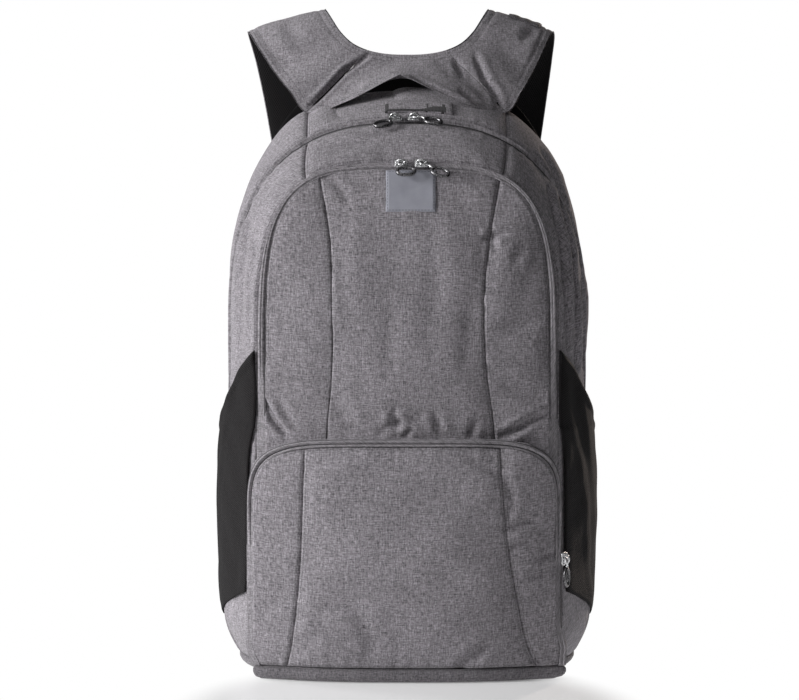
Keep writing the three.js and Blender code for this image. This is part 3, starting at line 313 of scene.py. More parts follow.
def column(table, k, where):
    """Smooth value of column k of a table, whose first column rises."""
    keys, values = table[:, 0], table[:, k]
    slopes = np.diff(values) / np.diff(keys)
    ends = np.concatenate([[slopes[0]], (slopes[1:] + slopes[:-1]) / 2, [slopes[-1]]])
    value = np.clip(where, keys[0], keys[-1])
    i = np.clip(np.searchsorted(keys, value, side="left") - 1, 0, len(slopes) - 1)
    span = keys[i + 1] - keys[i]
    t = (value - keys[i]) / span
    rise = t * t * (3 - 2 * t)
    middle = slopes[i]
    before = np.where(i > 0, ends[i], middle)
    after = np.where(i < len(slopes) - 1, ends[i + 1], middle)
    return mix(values[i], values[i + 1], rise) + span * t * (1 - t) * ((1 - t) * before - t * after)


def wall_row(at):
    half, top, waist, power, deep_top, deep_low = [column(WALL, k, at) for k in range(1, 7)]
    return (half * HALF_WIDTH, top * BODY_HEIGHT, waist * BODY_HEIGHT, power,
            deep_top * BODY_DEPTH, deep_low * BODY_DEPTH)


def tuck(z):
    return ramp(z, TUCK_HEIGHT, 0) ** 2


def side_ease(z):
    return WING_FLARE * hump(z - WING_HEIGHT, WING_SPAN) - BOTTOM_TUCK * tuck(z)


def pocket_ease(z):
    return np.minimum(0, side_ease(z))


def wall_depth(row, z):
    deep = mix(row[5], row[4], ramp(z, row[2], row[1]) ** 1.5)
    return deep - BOTTOM_TUCK * FOOT_TUCK_SHARE * tuck(z) * (deep / BODY_DEPTH)


def wall_half(row, z):
    return row[0] * (1 - ramp(z, row[2], row[1]) ** row[3]) ** (1 / row[3]) + side_ease(z)


def outline(v, half, waist, top, power, share=ARCH_SHARE, ease=side_ease):
    """An arch on straight sides: v is -1 at the left foot, 0 at the top and 1 at the right foot."""
    along = np.abs(v)
    angle = np.clip(along / share, 0, 1) * (math.pi / 2)
    sin, cos = np.sin(angle), np.cos(angle)
    radius = (sin ** power + np.abs(cos) ** power) ** (-1 / power)
    low = mix(waist, BASE_HEIGHT, (along - share) / (1 - share))
    z = np.where(along <= share, waist + (top - waist) * radius * cos, low)
    x = half * np.where(along <= share, radius * sin, 1)
    return np.sign(v) * (x + np.minimum(1, along / share) * ease(z)), z


def wall_point(at, v):
    at, v = np.broadcast_arrays(np.asarray(at, float), np.asarray(v, float))
    row = wall_row(at)
    x, z = outline(v, row[0], row[2], row[1], row[3])
    return np.stack([x, -wall_depth(row, z), z], axis=-1)


FRONT_ROW = wall_row(np.array(FRONT_ZIP_INNER))
BACK_ROW = wall_row(np.array(0.0))


def seam_of(table, half, height):
    """Gives the place across of the seam on one side, -1 or 1, at a height."""
    return lambda side, z: side * half * column(table, 1 if side < 0 else 2, z / height)


front_seam = seam_of(FRONT_SEAMS, HALF_WIDTH, BODY_HEIGHT)
pocket_seam = seam_of(POCKET_SEAMS, POCKET_HALF, POCKET_HEIGHT)


def valley(x, z, seam):
    return SEAM_VALLEY * sum(hump(x - seam(side, z), 5 * CLOTH) for side in (-1, 1))


def arch_radius(x, z, half, waist, top, power):
    """1 on the arch and less within it."""
    return (ramp(z, waist, top) ** power + (np.abs(x) / half) ** power) ** (1 / power)


def front_radius(x, z):
    return arch_radius(x, z, FRONT_ROW[0] + side_ease(z), FRONT_ROW[2], FRONT_ROW[1], FRONT_ROW[3])


def front_point(x, z):
    full = FRONT_FULLNESS * (1 - np.minimum(1.2, front_radius(x, z)) ** FRONT_SWELL_POWER)
    return np.stack([x, -wall_depth(FRONT_ROW, z) - full + valley(x, z, front_seam), z], axis=-1)


def front_edge(v):
    edge = wall_point(FRONT_ZIP_INNER, v)
    inset = EDGE_INSET / FRONT_ROW[0]
    z = edge[..., 2]
    return edge[..., 0] * (1 - inset), np.where(z > FRONT_ROW[2], mix(z, FRONT_ROW[2], inset), z)


def pocket_point(x, z):
    edge = wall_depth(FRONT_ROW, z) + POCKET_STAND_OFF
    across = 1 - np.minimum(1.1, np.abs(x) / POCKET_HALF) ** POCKET_SWELL_POWER
    sag = 1 - ramp(z, POCKET_SAG_HEIGHT, 0) ** 3
    radius = arch_radius(x, z, POCKET_HALF + pocket_ease(z), POCKET_WAIST, POCKET_HEIGHT, POCKET_POWER)
    swell = (1 - np.minimum(1.1, radius) ** POCKET_SWELL_POWER) * sag
    full = POCKET_FULLNESS * mix(swell, across, POCKET_ACROSS_SHARE)
    return np.stack([x, -edge - full + valley(x, z, pocket_seam), z], axis=-1)


def pocket_edge(v, inset):
    return outline(np.asarray(v, float), POCKET_HALF - inset, POCKET_WAIST, POCKET_HEIGHT - inset,
                   POCKET_POWER, POCKET_ARCH, pocket_ease)


def pocket_inner(v):
    return pocket_edge(v, POCKET_ZIP_WIDTH + EDGE_INSET)


def seam_tops(edge, seam, share):
    """Places along the edge where the seams of both sides meet it."""
    tops = {}
    for side in (-1, 1):
        low, high = 0.0, share
        for _ in range(40):
            middle = (low + high) / 2
            x, z = edge(np.array(side * middle))
            if abs(x) > abs(seam(side, z)):
                high = middle
            else:
                low = middle
        tops[side] = low
    return tops


def flank(side, edge, seam, start, peak):
    """Plan of the cloth between a seam and the edge, from start on the edge, its top as high as the peak."""
    top = edge(np.array(side * peak))[1]

    def plan(i, j):
        x1, z1 = edge(side * mix(start, 1, i))
        z0 = mix(top, BASE_HEIGHT, i)
        x0 = seam(side, z0) + side * SEAM_GAP / 2
        return mix(x0, x1, j), mix(z0, z1, j)
    return plan


def face_plans(edge, seam, share, gap, lowered=0.0):
    """Plans of the left, centre and right cloth of a face that two seams divide."""
    tops = seam_tops(edge, seam, share)

    def centre(i, j):
        z = mix(edge(mix(-tops[-1], tops[1], j))[1], BASE_HEIGHT, i)
        return mix(seam(-1, z) + SEAM_GAP / 2, seam(1, z) - SEAM_GAP / 2, j), z
    left, right = [flank(side, edge, seam, tops[side] + gap, tops[side] + lowered) for side in (-1, 1)]
    return left, centre, right


def depth_behind(x, z):
    """Depth of the bag's front, panel or wall, behind a point of the pocket's outline."""
    low = np.full(x.shape, MAIN_ZIP_AT)
    high = np.full(x.shape, FRONT_ZIP_INNER)
    for _ in range(30):
        middle = (low + high) / 2
        wide = wall_half(wall_row(middle), z) > np.abs(x)
        low = np.where(wide, middle, low)
        high = np.where(wide, high, middle)
    on_wall = -wall_depth(wall_row(low), z)
    return np.where(front_radius(x, z) <= 1, front_point(x, z)[..., 1], on_wall)


def gusset(inset):
    def point(i, j):
        v = mix(-1, 1, i)
        x, z = pocket_edge(v, inset)
        rear = depth_behind(x, z) - GUSSET_CLEARANCE
        front = pocket_point(*pocket_edge(v, 0))[..., 1] + CLOTH
        return np.stack([x, mix(rear, front, j), z], axis=-1)
    return point


def back_edge(v, inset):
    return outline(np.asarray(v, float), BACK_ROW[0] - inset, BACK_ROW[2], BACK_HEIGHT - inset, BACK_ROW[3])


def back_plan(i, j, inset):
    top = back_edge(mix(-BACK_CORNER, BACK_CORNER, j), inset)
    left = back_edge(-mix(BACK_CORNER, 1, i), inset)
    right = back_edge(mix(BACK_CORNER, 1, i), inset)
    foot_left, foot_right = back_edge(np.array(-1.0), inset), back_edge(np.array(1.0), inset)
    corner_left = back_edge(np.array(-BACK_CORNER), inset)
    corner_right = back_edge(np.array(BACK_CORNER), inset)
    plan = []
    for k in range(2):
        foot = mix(foot_left[k], foot_right[k], j)
        edges = mix(top[k], foot, i) + mix(left[k], right[k], j)
        corners = mix(mix(corner_left[k], corner_right[k], j), foot, i)
        plan.append(edges - corners)
    return plan


def curve_point(points, t):
    """Point of a centripetal spline through the points, with t from 0 to 1."""
    t = np.clip(np.asarray(t, float), 0, 1) * (len(points) - 1)
    i = np.minimum(np.floor(t).astype(int), len(points) - 2)
    w = (t - i)[..., None]
    padded = np.vstack([2 * points[0] - points[1], points, 2 * points[-1] - points[-2]])
    p0, p1, p2, p3 = padded[i], padded[i + 1], padded[i + 2], padded[i + 3]
    gap = lambda a, b: np.maximum(np.sum((b - a) ** 2, axis=-1, keepdims=True) ** 0.25, 1e-4)
    d0, d1, d2 = gap(p0, p1), gap(p1, p2), gap(p2, p3)
    t1 = ((p1 - p0) / d0 - (p2 - p0) / (d0 + d1) + (p2 - p1) / d1) * d1
    t2 = ((p2 - p1) / d1 - (p3 - p1) / (d1 + d2) + (p3 - p2) / d2) * d1
    return p1 + t1 * w + (-3 * p1 + 3 * p2 - 2 * t1 - t2) * w ** 2 + (2 * p1 - 2 * p2 + t1 + t2) * w ** 3


def harness_edge(k):
    reach = np.where(HARNESS[:, k + 1] < 0, BODY_DEPTH, HARNESS_REACH) * HARNESS[:, k + 1]
    return np.stack([-HARNESS[:, k] * HALF_WIDTH, reach, HARNESS[:, k + 2] * HARNESS_HEIGHT], axis=-1)


OUT_EDGE, IN_EDGE = harness_edge(0), harness_edge(3)


def harness_point(t, across):
    t, across = np.broadcast_arrays(np.asarray(t, float), np.asarray(across, float))
    at = np.minimum(1, np.abs(t))
    point = mix(curve_point(OUT_EDGE, at), curve_point(IN_EDGE, at), across[..., None])
    soft = np.minimum(1, np.hypot(t, 0.045 * np.clip(2 * across, 0, 1)))
    point[..., 1:] = mix(curve_point(OUT_EDGE, soft), curve_point(IN_EDGE, soft), across[..., None])[..., 1:]
    fold = RIGHT_FOLD_IN * (1 - across) * hump(at - FOLD_AT, FOLD_SPAN)
    point[..., 0] = np.where(t > 0, -point[..., 0] - fold, point[..., 0])
    middle = (1 - across) * hump(at, 0.5 * YOKE_END)
    low = (1 - across) * hump(t - 0.5 * YOKE_END, 0.32 * YOKE_END)
    shift = [-YOKE_LEAN * middle, -YOKE_FORWARD * low, YOKE_RISE * middle - YOKE_DROP * low]
    return point + np.stack(shift, axis=-1)


def harness_thickness(t):
    return mix(YOKE_CLOTH, STRAP_THICKNESS, ramp(np.abs(t), YOKE_END, 2.5 * YOKE_END))


def normal_of(surface, a, b, da, db):
    return unit(np.cross(surface(a + da, b) - surface(a - da, b), surface(a, b + db) - surface(a, b - db)))


def photo(points):
    """Pixel of the photograph that shows each point."""
    rel = points - AIM
    depth = DISTANCE + rel[..., 1] * math.cos(ELEVATION) - rel[..., 2] * math.sin(ELEVATION)
    up = rel[..., 2] * math.cos(ELEVATION) + rel[..., 1] * math.sin(ELEVATION)
    return PHOTO_CENTRE[0] + FOCAL * rel[..., 0] / depth, PHOTO_CENTRE[1] - FOCAL * up / depth


def creased(points, creases):
    """Depth of the creases at each point, in millimetres, with soft shoulders beside them."""
    px, py = photo(points)
    total = np.zeros(px.shape)
    for line, depth, width in creases:
        depth, width = CREASE_DEPTH * depth, CREASE_WIDTH * width
        ends = np.array(line, float)
        lengths = np.linalg.norm(np.diff(ends, axis=0), axis=1)
        whole, run = lengths.sum(), 0.0
        best = np.full(px.shape, 1e9)
        share = np.zeros(px.shape)
        for a, b, length in zip(ends[:-1], ends[1:], lengths):
            t = np.clip(((px - a[0]) * (b[0] - a[0]) + (py - a[1]) * (b[1] - a[1])) / length ** 2, 0, 1)
            away = np.hypot(px - mix(a[0], b[0], t), py - mix(a[1], b[1], t))
            nearer = away < best
            best = np.where(nearer, away, best)
            share = np.where(nearer, (run + t * length) / whole, share)
            run += length
        taper = np.clip(4 * share * (1 - share), 0, 1) ** 0.5 * 0.85 + 0.15
        total += depth * taper * (0.35 * hump(best - 2.2 * width, 1.2 * width) - hump(best, width))
    return total


def ripple(u, v, seed, size, height):
    """Gentle uneven swell, from a few waves whose directions come from the seed."""
    rng = np.random.default_rng(seed)
    total = np.zeros(np.broadcast(u, v).shape)
    for _ in range(9):
        angle, phase = rng.uniform(0, math.pi), rng.uniform(0, 2 * math.pi)
        length = size * rng.uniform(0.6, 1.7)
        total = total + np.sin((u * math.cos(angle) + v * math.sin(angle)) * 2 * math.pi / length + phase)
    return height * total / 3.0


# Materials
class Shader:
    def __init__(self, name, **values):
        self.material = bpy.data.materials.new(name)
        self.material.use_nodes = True
        self.nodes = self.material.node_tree.nodes
        self.links = self.material.node_tree.links
        self.surface = self.nodes["Principled BSDF"]
        self.set(self.surface, values)

    def set(self, node, values):
        for socket, value in values.items():
            if isinstance(value, bpy.types.NodeSocket):
                self.links.new(value, node.inputs[socket])
            else:
                node.inputs[socket].default_value = value

    def node(self, kind, inputs=None, output=0, **options):
        node = self.nodes.new("ShaderNode" + kind)
        for option, value in options.items():
            setattr(node, option, value)
        self.set(node, inputs or {})
        return node.outputs[output]

    def math(self, operation, a, b=0.0, c=0.0):
        return self.node("Math", {0: a, 1: b, 2: c}, operation=operation)

    def mix(self, factor, a, b):
        return self.node("Mix", {0: factor, 6: a, 7: b}, output=2, data_type="RGBA")

    def spread(self, value, low, high, out_low=0.0, out_high=1.0):
        return self.node("MapRange", {0: value, 1: low, 2: high, 3: out_low, 4: out_high})

    def along(self, scale, turn=0.0):
        uv = self.node("UVMap", uv_map="cloth")
        return self.node("Mapping", {"Vector": uv, "Scale": scale, "Rotation": (0, 0, turn)})

    def noise(self, scale, detail=2.0, rough=0.5, turn=0.0):
        return self.node("TexNoise", {"Vector": self.along(scale, turn), "Scale": 1.0, "Detail": detail,
                                      "Roughness": rough})

    def wave(self, scale):
        split = self.nodes.new("ShaderNodeSeparateXYZ")
        self.links.new(self.along((scale[0], scale[1], 1)), split.inputs[0])
        return [self.math("SINE", self.math("MULTIPLY", split.outputs[k], 2 * math.pi)) for k in range(2)]

    def total(self, *terms):
        """Sum of values, each times its weight."""
        whole = 0.0
        for value, weight in terms:
            whole = self.math("MULTIPLY_ADD", value, weight, whole)
        return whole

    def stitches(self, away, period, least, half):
        """A row of stitches at a distance from the seam, and how far each place is off the row."""
        edge, run = [self.node("Attribute", output=2, attribute_name=name) for name in ("edge", "run")]
        off = self.math("ABSOLUTE", self.math("SUBTRACT", edge, away))
        dash = self.math("SINE", self.math("MULTIPLY", run, 2 * math.pi / period))
        row = self.math("LESS_THAN", off, half)
        return self.math("MULTIPLY", self.math("GREATER_THAN", dash, least), row), off

    def finish(self, color, rough, height, distance, strength=1.0):
        self.set(self.surface, {"Base Color": color, "Roughness": rough})
        bump = self.node("Bump", {"Height": height, "Distance": distance, "Strength": strength})
        self.links.new(bump, self.surface.inputs["Normal"])
        return self.material


def heather(name, dark, light, stitches=True):
    """Grey woven cloth whose threads are dyed unevenly, with a row of stitches beside its seams."""
    s = Shader(name)
    s.set(s.surface, {"Sheen Weight": 0.12, "Sheen Roughness": 0.6, "Specular IOR Level": 0.25})
    warp = s.noise((1250, 190, 1), 2.0, 0.65)
    weft = s.noise((190, 1250, 1), 2.0, 0.65)
    grain = s.noise((620, 620, 1), 1.0)
    tone = s.spread(s.total((warp, 0.4), (weft, 0.4), (grain, 0.2)), 0.372, 0.648)
    slub = s.math("ADD", s.spread(s.noise((700, 40, 1), 1.0), 0.33, 0.67, -0.12, 0.12),
                  s.spread(s.noise((40, 700, 1), 1.0), 0.33, 0.67, -0.1, 0.1))
    patch = s.math("ADD", slub, s.spread(s.noise((16, 16, 1), 3.0), 0.3, 0.7, 0.9, 1.08))
    color = s.mix(tone, dark, light)
    across, down = s.wave((1250, 1250))
    weave = s.math("MULTIPLY", across, down)
    worn = s.mix(s.spread(weave, -1.0, 1.0, 0.0, 0.22), color, (0.03, 0.028, 0.03, 1))
    tint = s.node("CombineColor", {0: patch, 1: patch, 2: patch})
    color = s.node("Mix", {0: 1.0, 6: worn, 7: tint}, output=2, data_type="RGBA", blend_type="MULTIPLY")
    height = s.total((weave, 0.5), (tone, 0.9))
    if stitches:
        stitch, off = s.stitches(0.0024, 0.0032, -0.55, 0.00038)
        color = s.mix(s.math("MULTIPLY", stitch, 0.5), color, (0.055, 0.052, 0.056, 1))
        height = s.total((height, 1.0), (s.math("LESS_THAN", off, 0.0009), -1.2), (stitch, 2.2))
    rough = s.spread(tone, 0.0, 1.0, 0.95, 0.82)
    return s.finish(color, rough, height, 0.00022, 0.8)


def knit(name, dark, light, scale):
    """Black knitted mesh: rounded holes in rows, over a darker ground."""
    s = Shader(name)
    s.set(s.surface, {"Sheen Weight": 0.03, "Sheen Roughness": 0.5, "Specular IOR Level": 0.1})
    across, down = s.wave((scale, scale * 0.62))
    holes = s.math("MULTIPLY", across, down)
    yarn = s.noise((1500, 300, 1), 1.0)
    color = s.mix(s.spread(holes, -0.2, 0.8), light, dark)
    color = s.mix(s.spread(yarn, 0.3, 0.7, 0.0, 0.35), color, dark)
    height = s.total((holes, -1.0), (yarn, 0.4))
    return s.finish(color, s.spread(yarn, 0.2, 0.8, 0.72, 0.92), height, 0.00035, 0.8)


def ribbed(name, dark, light, scale):
    """Flat webbing with ribs across and a herringbone of fine threads."""
    s = Shader(name)
    s.set(s.surface, {"Sheen Weight": 0.1, "Sheen Roughness": 0.5, "Specular IOR Level": 0.3})
    across, down = s.wave((scale, scale * 0.5))
    twill = s.math("ADD", across, s.math("MULTIPLY", s.math("MULTIPLY", across, down), 0.6))
    fibre = s.noise((500, 1800, 1), 2.0)
    color = s.mix(s.spread(twill, -1.2, 1.2), dark, light)
    color = s.mix(s.spread(fibre, 0.35, 0.65, 0.0, 0.4), color, dark)
    return s.finish(color, s.spread(fibre, 0.2, 0.8, 0.6, 0.85), twill, 0.0003, 0.8)


GREY = heather("grey cloth", (0.072, 0.066, 0.074, 1), (0.42, 0.393, 0.426, 1))
# Darker copy of the grey cloth for the base: painted shade at the foot of the bag
SHADED_BASE = heather("shaded base cloth", (0.045, 0.041, 0.046, 1), (0.26, 0.243, 0.264, 1))
FLAP = heather("zip flap cloth", (0.1, 0.093, 0.102, 1), (0.42, 0.396, 0.425, 1), stitches=False)
MESH = knit("black stretch mesh", (0.003, 0.0027, 0.003, 1), (0.014, 0.0125, 0.0135, 1), 520)
PAD_MESH = knit("padded spacer mesh", (0.004, 0.0036, 0.004, 1), (0.009, 0.0082, 0.009, 1), 520)
# Dark webbing colour, also painted on the lock tab's lower edge as a shadow
WEB_AND_SHADE = ribbed("dark webbing and painted shade", (0.012, 0.011, 0.012, 1), (0.045, 0.043, 0.046, 1), 700)
WEB_GREY = ribbed("grey webbing", (0.06, 0.056, 0.061, 1), (0.17, 0.16, 0.172, 1), 640)
# Dark coil colour, also used on the pocket zip's outer edge as painted shade
COIL_AND_SHADE = ribbed("zip coil and painted shade", (0.03, 0.028, 0.031, 1), (0.075, 0.071, 0.077, 1), 620)


def label_cloth():
    s = Shader("label cloth")
    s.set(s.surface, {"Specular IOR Level": 0.35, "Sheen Weight": 0.08})
    across, down = s.wave((1900, 1900))
    cloud = s.noise((90, 90, 1), 3.0)
    color = s.mix(s.spread(cloud, 0.3, 0.7), (0.255, 0.258, 0.302, 1), (0.3, 0.304, 0.348, 1))
    stitch = s.stitches(0.0013, 0.0026, -0.5, 0.0003)[0]
    color = s.mix(s.math("MULTIPLY", stitch, 0.6), color, (0.07, 0.07, 0.09, 1))
    height = s.total((across, 1.0), (down, 1.0), (stitch, 4.0))
    return s.finish(color, s.spread(cloud, 0.2, 0.8, 0.5, 0.62), height, 0.00008, 0.6)


def metal(name, dark, light):
    s = Shader(name)
    s.set(s.surface, {"Metallic": 1.0})
    place = s.node("TexCoord", output=3)
    scuff = s.node("TexNoise", {"Vector": place, "Scale": 900.0, "Detail": 3.0})
    color = s.mix(s.spread(scuff, 0.35, 0.65), dark, light)
    return s.finish(color, s.spread(scuff, 0.3, 0.7, 0.22, 0.42), scuff, 0.00005, 0.5)


def plastic(name, color):
    s = Shader(name)
    place = s.node("TexCoord", output=3)
    grain = s.node("TexNoise", {"Vector": place, "Scale": 2600.0, "Detail": 2.0})
    shade = s.mix(s.spread(grain, 0.3, 0.7), color, tuple(c * 1.5 for c in color[:3]) + (1,))
    return s.finish(shade, s.spread(grain, 0.3, 0.7, 0.4, 0.55), grain, 0.0001, 0.6)


LABEL = label_cloth()
BRIGHT = metal("bright zip metal", (0.42, 0.42, 0.43, 1), (0.78, 0.78, 0.79, 1))
GUNMETAL = metal("dark zip metal", (0.05, 0.048, 0.051, 1), (0.22, 0.216, 0.224, 1))
BUCKLE = plastic("buckle plastic", (0.014, 0.014, 0.015, 1))


# Meshes
def world(points):
    return (points + np.array([0.0, SHIFT, 0.0])) / 1000.0


def add(name, data):
    thing = bpy.data.objects.new(name, data)
    bpy.context.scene.collection.objects.link(thing)
    return thing


def add_piece(name, mesh, node=None):
    """Puts a piece of the visual model on the bag, in place of the solid that it stands for."""
    mesh.polygons.foreach_set("use_smooth", np.ones(len(mesh.polygons), bool))
    piece = add(name, mesh)
    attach(piece, "root")
    if node is not None:
        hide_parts(node)
    return piece


def grid_normals(points, middle):
    cross = np.cross(np.gradient(points, axis=0), np.gradient(points, axis=1))
    normal = cross / np.maximum(np.linalg.norm(cross, axis=-1, keepdims=True), 1e-9)
    return normal if np.sum(normal * (points - middle)) > 0 else -normal


def solid(name, outer, inner, materials, edge, u, v, choose=None, closed_rows=False, node=None):
    """Closed mesh between two grids of points in millimetres."""
    n, m = outer.shape[:2]
    count = n * m
    points = world(np.concatenate([outer.reshape(-1, 3), inner.reshape(-1, 3)]))
    k = np.arange(count).reshape(n, m)
    if closed_rows:
        k = np.concatenate([k, k[:, :1]], axis=1)
    a, b, c, d = k[:-1, :-1].ravel(), k[:-1, 1:].ravel(), k[1:, 1:].ravel(), k[1:, :-1].ravel()
    quads = [np.stack([a, b, c, d], 1), np.stack([a, d, c, b], 1) + count]
    rims = [k[0, :], k[-1, ::-1]]
    if not closed_rows:
        rims += [k[::-1, 0], k[:, -1]]
    for rim in rims:
        quads.append(np.stack([rim[1:], rim[:-1], rim[:-1] + count, rim[1:] + count], 1))
    faces = np.concatenate(quads)
    corners = points[faces]
    volume = np.sum(corners[:, 0] * np.cross(corners[:, 1], corners[:, 2]))
    volume += np.sum(corners[:, 0] * np.cross(corners[:, 2], corners[:, 3]))
    if volume < 0:
        faces = faces[:, ::-1]
    mesh = bpy.data.meshes.new(name)
    mesh.from_pydata(points.tolist(), [], faces.tolist())
    flat_uv = np.stack([u, v], -1).reshape(-1, 2) / 1000.0
    flat_uv = np.concatenate([flat_uv, flat_uv])
    layer = mesh.uv_layers.new(name="cloth")
    layer.data.foreach_set("uv", flat_uv[faces.ravel()].ravel())
    for title, values in (("edge", edge[0]), ("run", edge[1])):
        flat = values.reshape(-1) / 1000.0
        attribute = mesh.attributes.new(title, "FLOAT", "POINT")
        attribute.data.foreach_set("value", np.concatenate([flat, flat]))
    for material in materials:
        mesh.materials.append(material)
    if choose is not None:
        flat = np.concatenate([choose.reshape(-1), choose.reshape(-1)])
        mesh.polygons.foreach_set("material_index", flat[faces[:, 0]].astype(np.int32))
    return add_piece(name, mesh, node)


def lengths(points):
    """Distance run along the rows and along the columns, in millimetres."""
    across = np.linalg.norm(np.diff(points, axis=1), axis=-1)
    down = np.linalg.norm(np.diff(points, axis=0), axis=-1)
    u = np.concatenate([np.zeros((points.shape[0], 1)), np.cumsum(across, axis=1)], axis=1)
    v = np.concatenate([np.zeros((1, points.shape[1])), np.cumsum(down, axis=0)], axis=0)
    return u, v


def edges(u, v, sides="tblr"):
    """Distance to the nearest seam, and the place along it."""
    away = {"t": v, "b": v[-1:, :] - v, "l": u, "r": u[:, -1:] - u}
    best = np.full(u.shape, 1e3)
    run = np.zeros(u.shape)
    for side in sides:
        nearer = away[side] < best
        best = np.where(nearer, away[side], best)
        run = np.where(nearer, u if side in "tb" else v, run)
    return best, run


CENTRE = np.array([0.0, -80.0, 220.0])


def pocket_warp(points):
    """The right half of the lower pocket is a little narrower than the left, but wider at its foot."""
    x, foot = points[..., 0], tuck(points[..., 2])
    out = (x / POCKET_HALF) ** 2
    right = x + out * (POCKET_FOOT * foot - POCKET_LEAN * (1 - foot))
    left = x - out * 6.0 * foot
    return np.concatenate([np.where(x > 0, right, left)[..., None], points[..., 1:]], axis=-1)


def front_shown(points):
    """Share of the front zip's seams that shows: they fade out a little above the lower pocket."""
    return ramp(points[..., 2], *FRONT_FADE)


def pocket_shown(points):
    """Share of the pocket zip's seams that shows: they fade out down its left side."""
    return np.where(points[..., 0] > 0, 1, ramp(points[..., 2], *POCKET_FADE))


def panel_shown(points):
    """The panel's outer seams fade out with the zip's, and its left inner seam is softer lower down."""
    x, z = points[..., 0], points[..., 2]
    inner = np.where(x < 0, mix(0.3, 1, ramp(z, *INNER_FADE)), 1)
    return np.where(np.abs(x) > 0.6 * HALF_WIDTH, front_shown(points), inner)


def faded(relief, shown, sink):
    """A relief that flattens where its seams fade out, and sinks level with the cloth beside it."""
    def level(points, *rest):
        return relief(points, *rest) * shown(points) - sink * (1 - shown(points))
    return level


def drape(name, node, surface, size, relief=None, thickness=CLOTH, materials=None,
          sides="tblr", seam=1.0, middle=CENTRE, choose=None, planar=False, warp=None, shown=None):
    """A sheet of cloth over a surface of the bag. surface gives points for shares of its rows and columns."""
    i, j = shares(*size)
    points = surface(i, j)
    if warp is not None:
        points = warp(points)
    normal = grid_normals(points, middle)
    u, v = lengths(points)
    edge = edges(u, v, sides)
    lift = -seam * hump(edge[0], SEAM_GROOVE)
    if shown is not None:
        lift = lift * shown(points)
        edge = (edge[0] + STITCHES_AWAY * (1 - shown(points)), edge[1])
    if relief is not None:
        lift = lift + relief(points, u, v, edge[0], i, j)
    outer = points + normal * lift[..., None]
    inner = points - normal * thickness
    which = choose(i, j, u, v) if choose is not None else None
    if planar:
        u, v = points[..., 0], points[..., 2] - 0.3 * points[..., 1]
    return solid(name, outer, inner, materials or [GREY], edge, u, v, which, node=node)


# Walls
def on_wall(at_from, at_to, v_of, proud=0.0, spread=(0.0, 0.0)):
    def surface(i, j):
        at, v = mix(at_from, at_to, j), v_of(i)
        v = v + j * mix(spread[0], spread[1], i)
        normal = normal_of(wall_point, at, v, SHARE_STEP, SHARE_STEP)
        return wall_point(at, v) + normal * proud
    return surface


def along(start, end):
    return lambda i: mix(start, end, i)


def puckers(run, away, seed, size, height, reach):
    """Small gathers across a seam, that fade with the distance from it."""
    rng = np.random.default_rng(seed)
    turns = run * 2 * math.pi
    wave = sum(np.sin(turns / (size * rng.uniform(0.6, 1.6)) + rng.uniform(0, 6)) for _ in range(5))
    return height * wave / 2.2 * np.exp(-away / reach) * ramp(away, 0, 1.5)


def top_sag(points):
    return -SAG_DEPTH * hump(photo(points)[0] - SAG_MIDDLE, SAG_HALF, 4) * ramp(points[..., 1], *SAG_BEHIND)


def wall_relief(seed, creases, puff=1.2, sag=None):
    def relief(points, u, v, edge, i, j):
        puffed = puff * ramp(edge, 0, 9) ** 0.7 - puff * 0.5
        folds = creased(points, creases) * ramp(edge, 0, 4)
        lift = (puffed + folds + ripple(u, v, seed, 62, 0.55) * ramp(edge, 0, 8)
                + puckers(v, np.minimum(u, u[:, -1:] - u), seed, 14, 0.45, 7))
        return lift if sag is None else lift + sag(points)
    return relief


LENGTHS = {"left": (-1, -WALL_SEAM_V - V_GAP), "top": (-WALL_SEAM_V + V_GAP, WALL_SEAM_V - V_GAP),
           "right": (WALL_SEAM_V + V_GAP, 1)}
ROWS = {"left": 150, "top": 90, "right": 150}
LEFT_SLANT, RIGHT_SLANT = -0.13 * WALL_SEAM_V, 0.07 * WALL_SEAM_V
SLANTS = {"left": (0, LEFT_SLANT), "top": (LEFT_SLANT, RIGHT_SLANT), "right": (RIGHT_SLANT, 0)}
for seed, (part, ends) in enumerate(LENGTHS.items()):
    # One of the yoke's creases runs on over the top wall
    creases = WALL_CREASES + (TOP_CREASES[5:6] if part == "top" else [])
    drape(f"cloth_main_wall_{part}", f"main_wall_{part}",
          on_wall(0, MAIN_ZIP_AT - ZIP_HALF_AT - AT_GAP, along(*ends)), (ROWS[part], 30),
          wall_relief(10 + seed, creases, sag=top_sag if part == "top" else None))
    band_start, band_end = MAIN_ZIP_AT + ZIP_HALF_AT + AT_GAP, FRONT_ZIP_OUTER - AT_GAP
    drape(f"cloth_front_wall_{part}", f"front_wall_{part}",
          on_wall(band_start, band_end, along(*ends), spread=SLANTS[part]), (ROWS[part], 24),
          wall_relief(20 + seed, WALL_CREASES, 0.9), shown=front_shown)


# Zips: two flaps of the same cloth that meet over the coil, with a corded edge at the back
def flap_relief(cord, grooves, arched=2.0):
    """Profile across a zip. cord: place of the corded edge; grooves: place, half width and depth of each."""
    def relief(points, u, v, edge, i, j):
        lift = 0.9 * hump(j - cord, 0.12, 4) + ripple(v, v * 0, 5, 40, 0.12) - 0.4
        fade = ramp(np.abs(2 * i - 1), arched, arched - 0.08)
        for groove, wide, deep in grooves:
            lift = lift - fade * deep * hump(j - groove, 1.3 * wide)
            lift = lift + 0.3 * hump(np.abs(j - groove) - 3 * wide, 2 * wide)
        return lift
    return relief


def flap_choice(grooves, arched=2.0):
    def choose(i, j, u, v):
        dark = sum(np.abs(j - groove) < 0.8 * wide for groove, wide, deep in grooves)
        return (dark * (np.abs(2 * i - 1) < arched)).astype(int)
    return choose


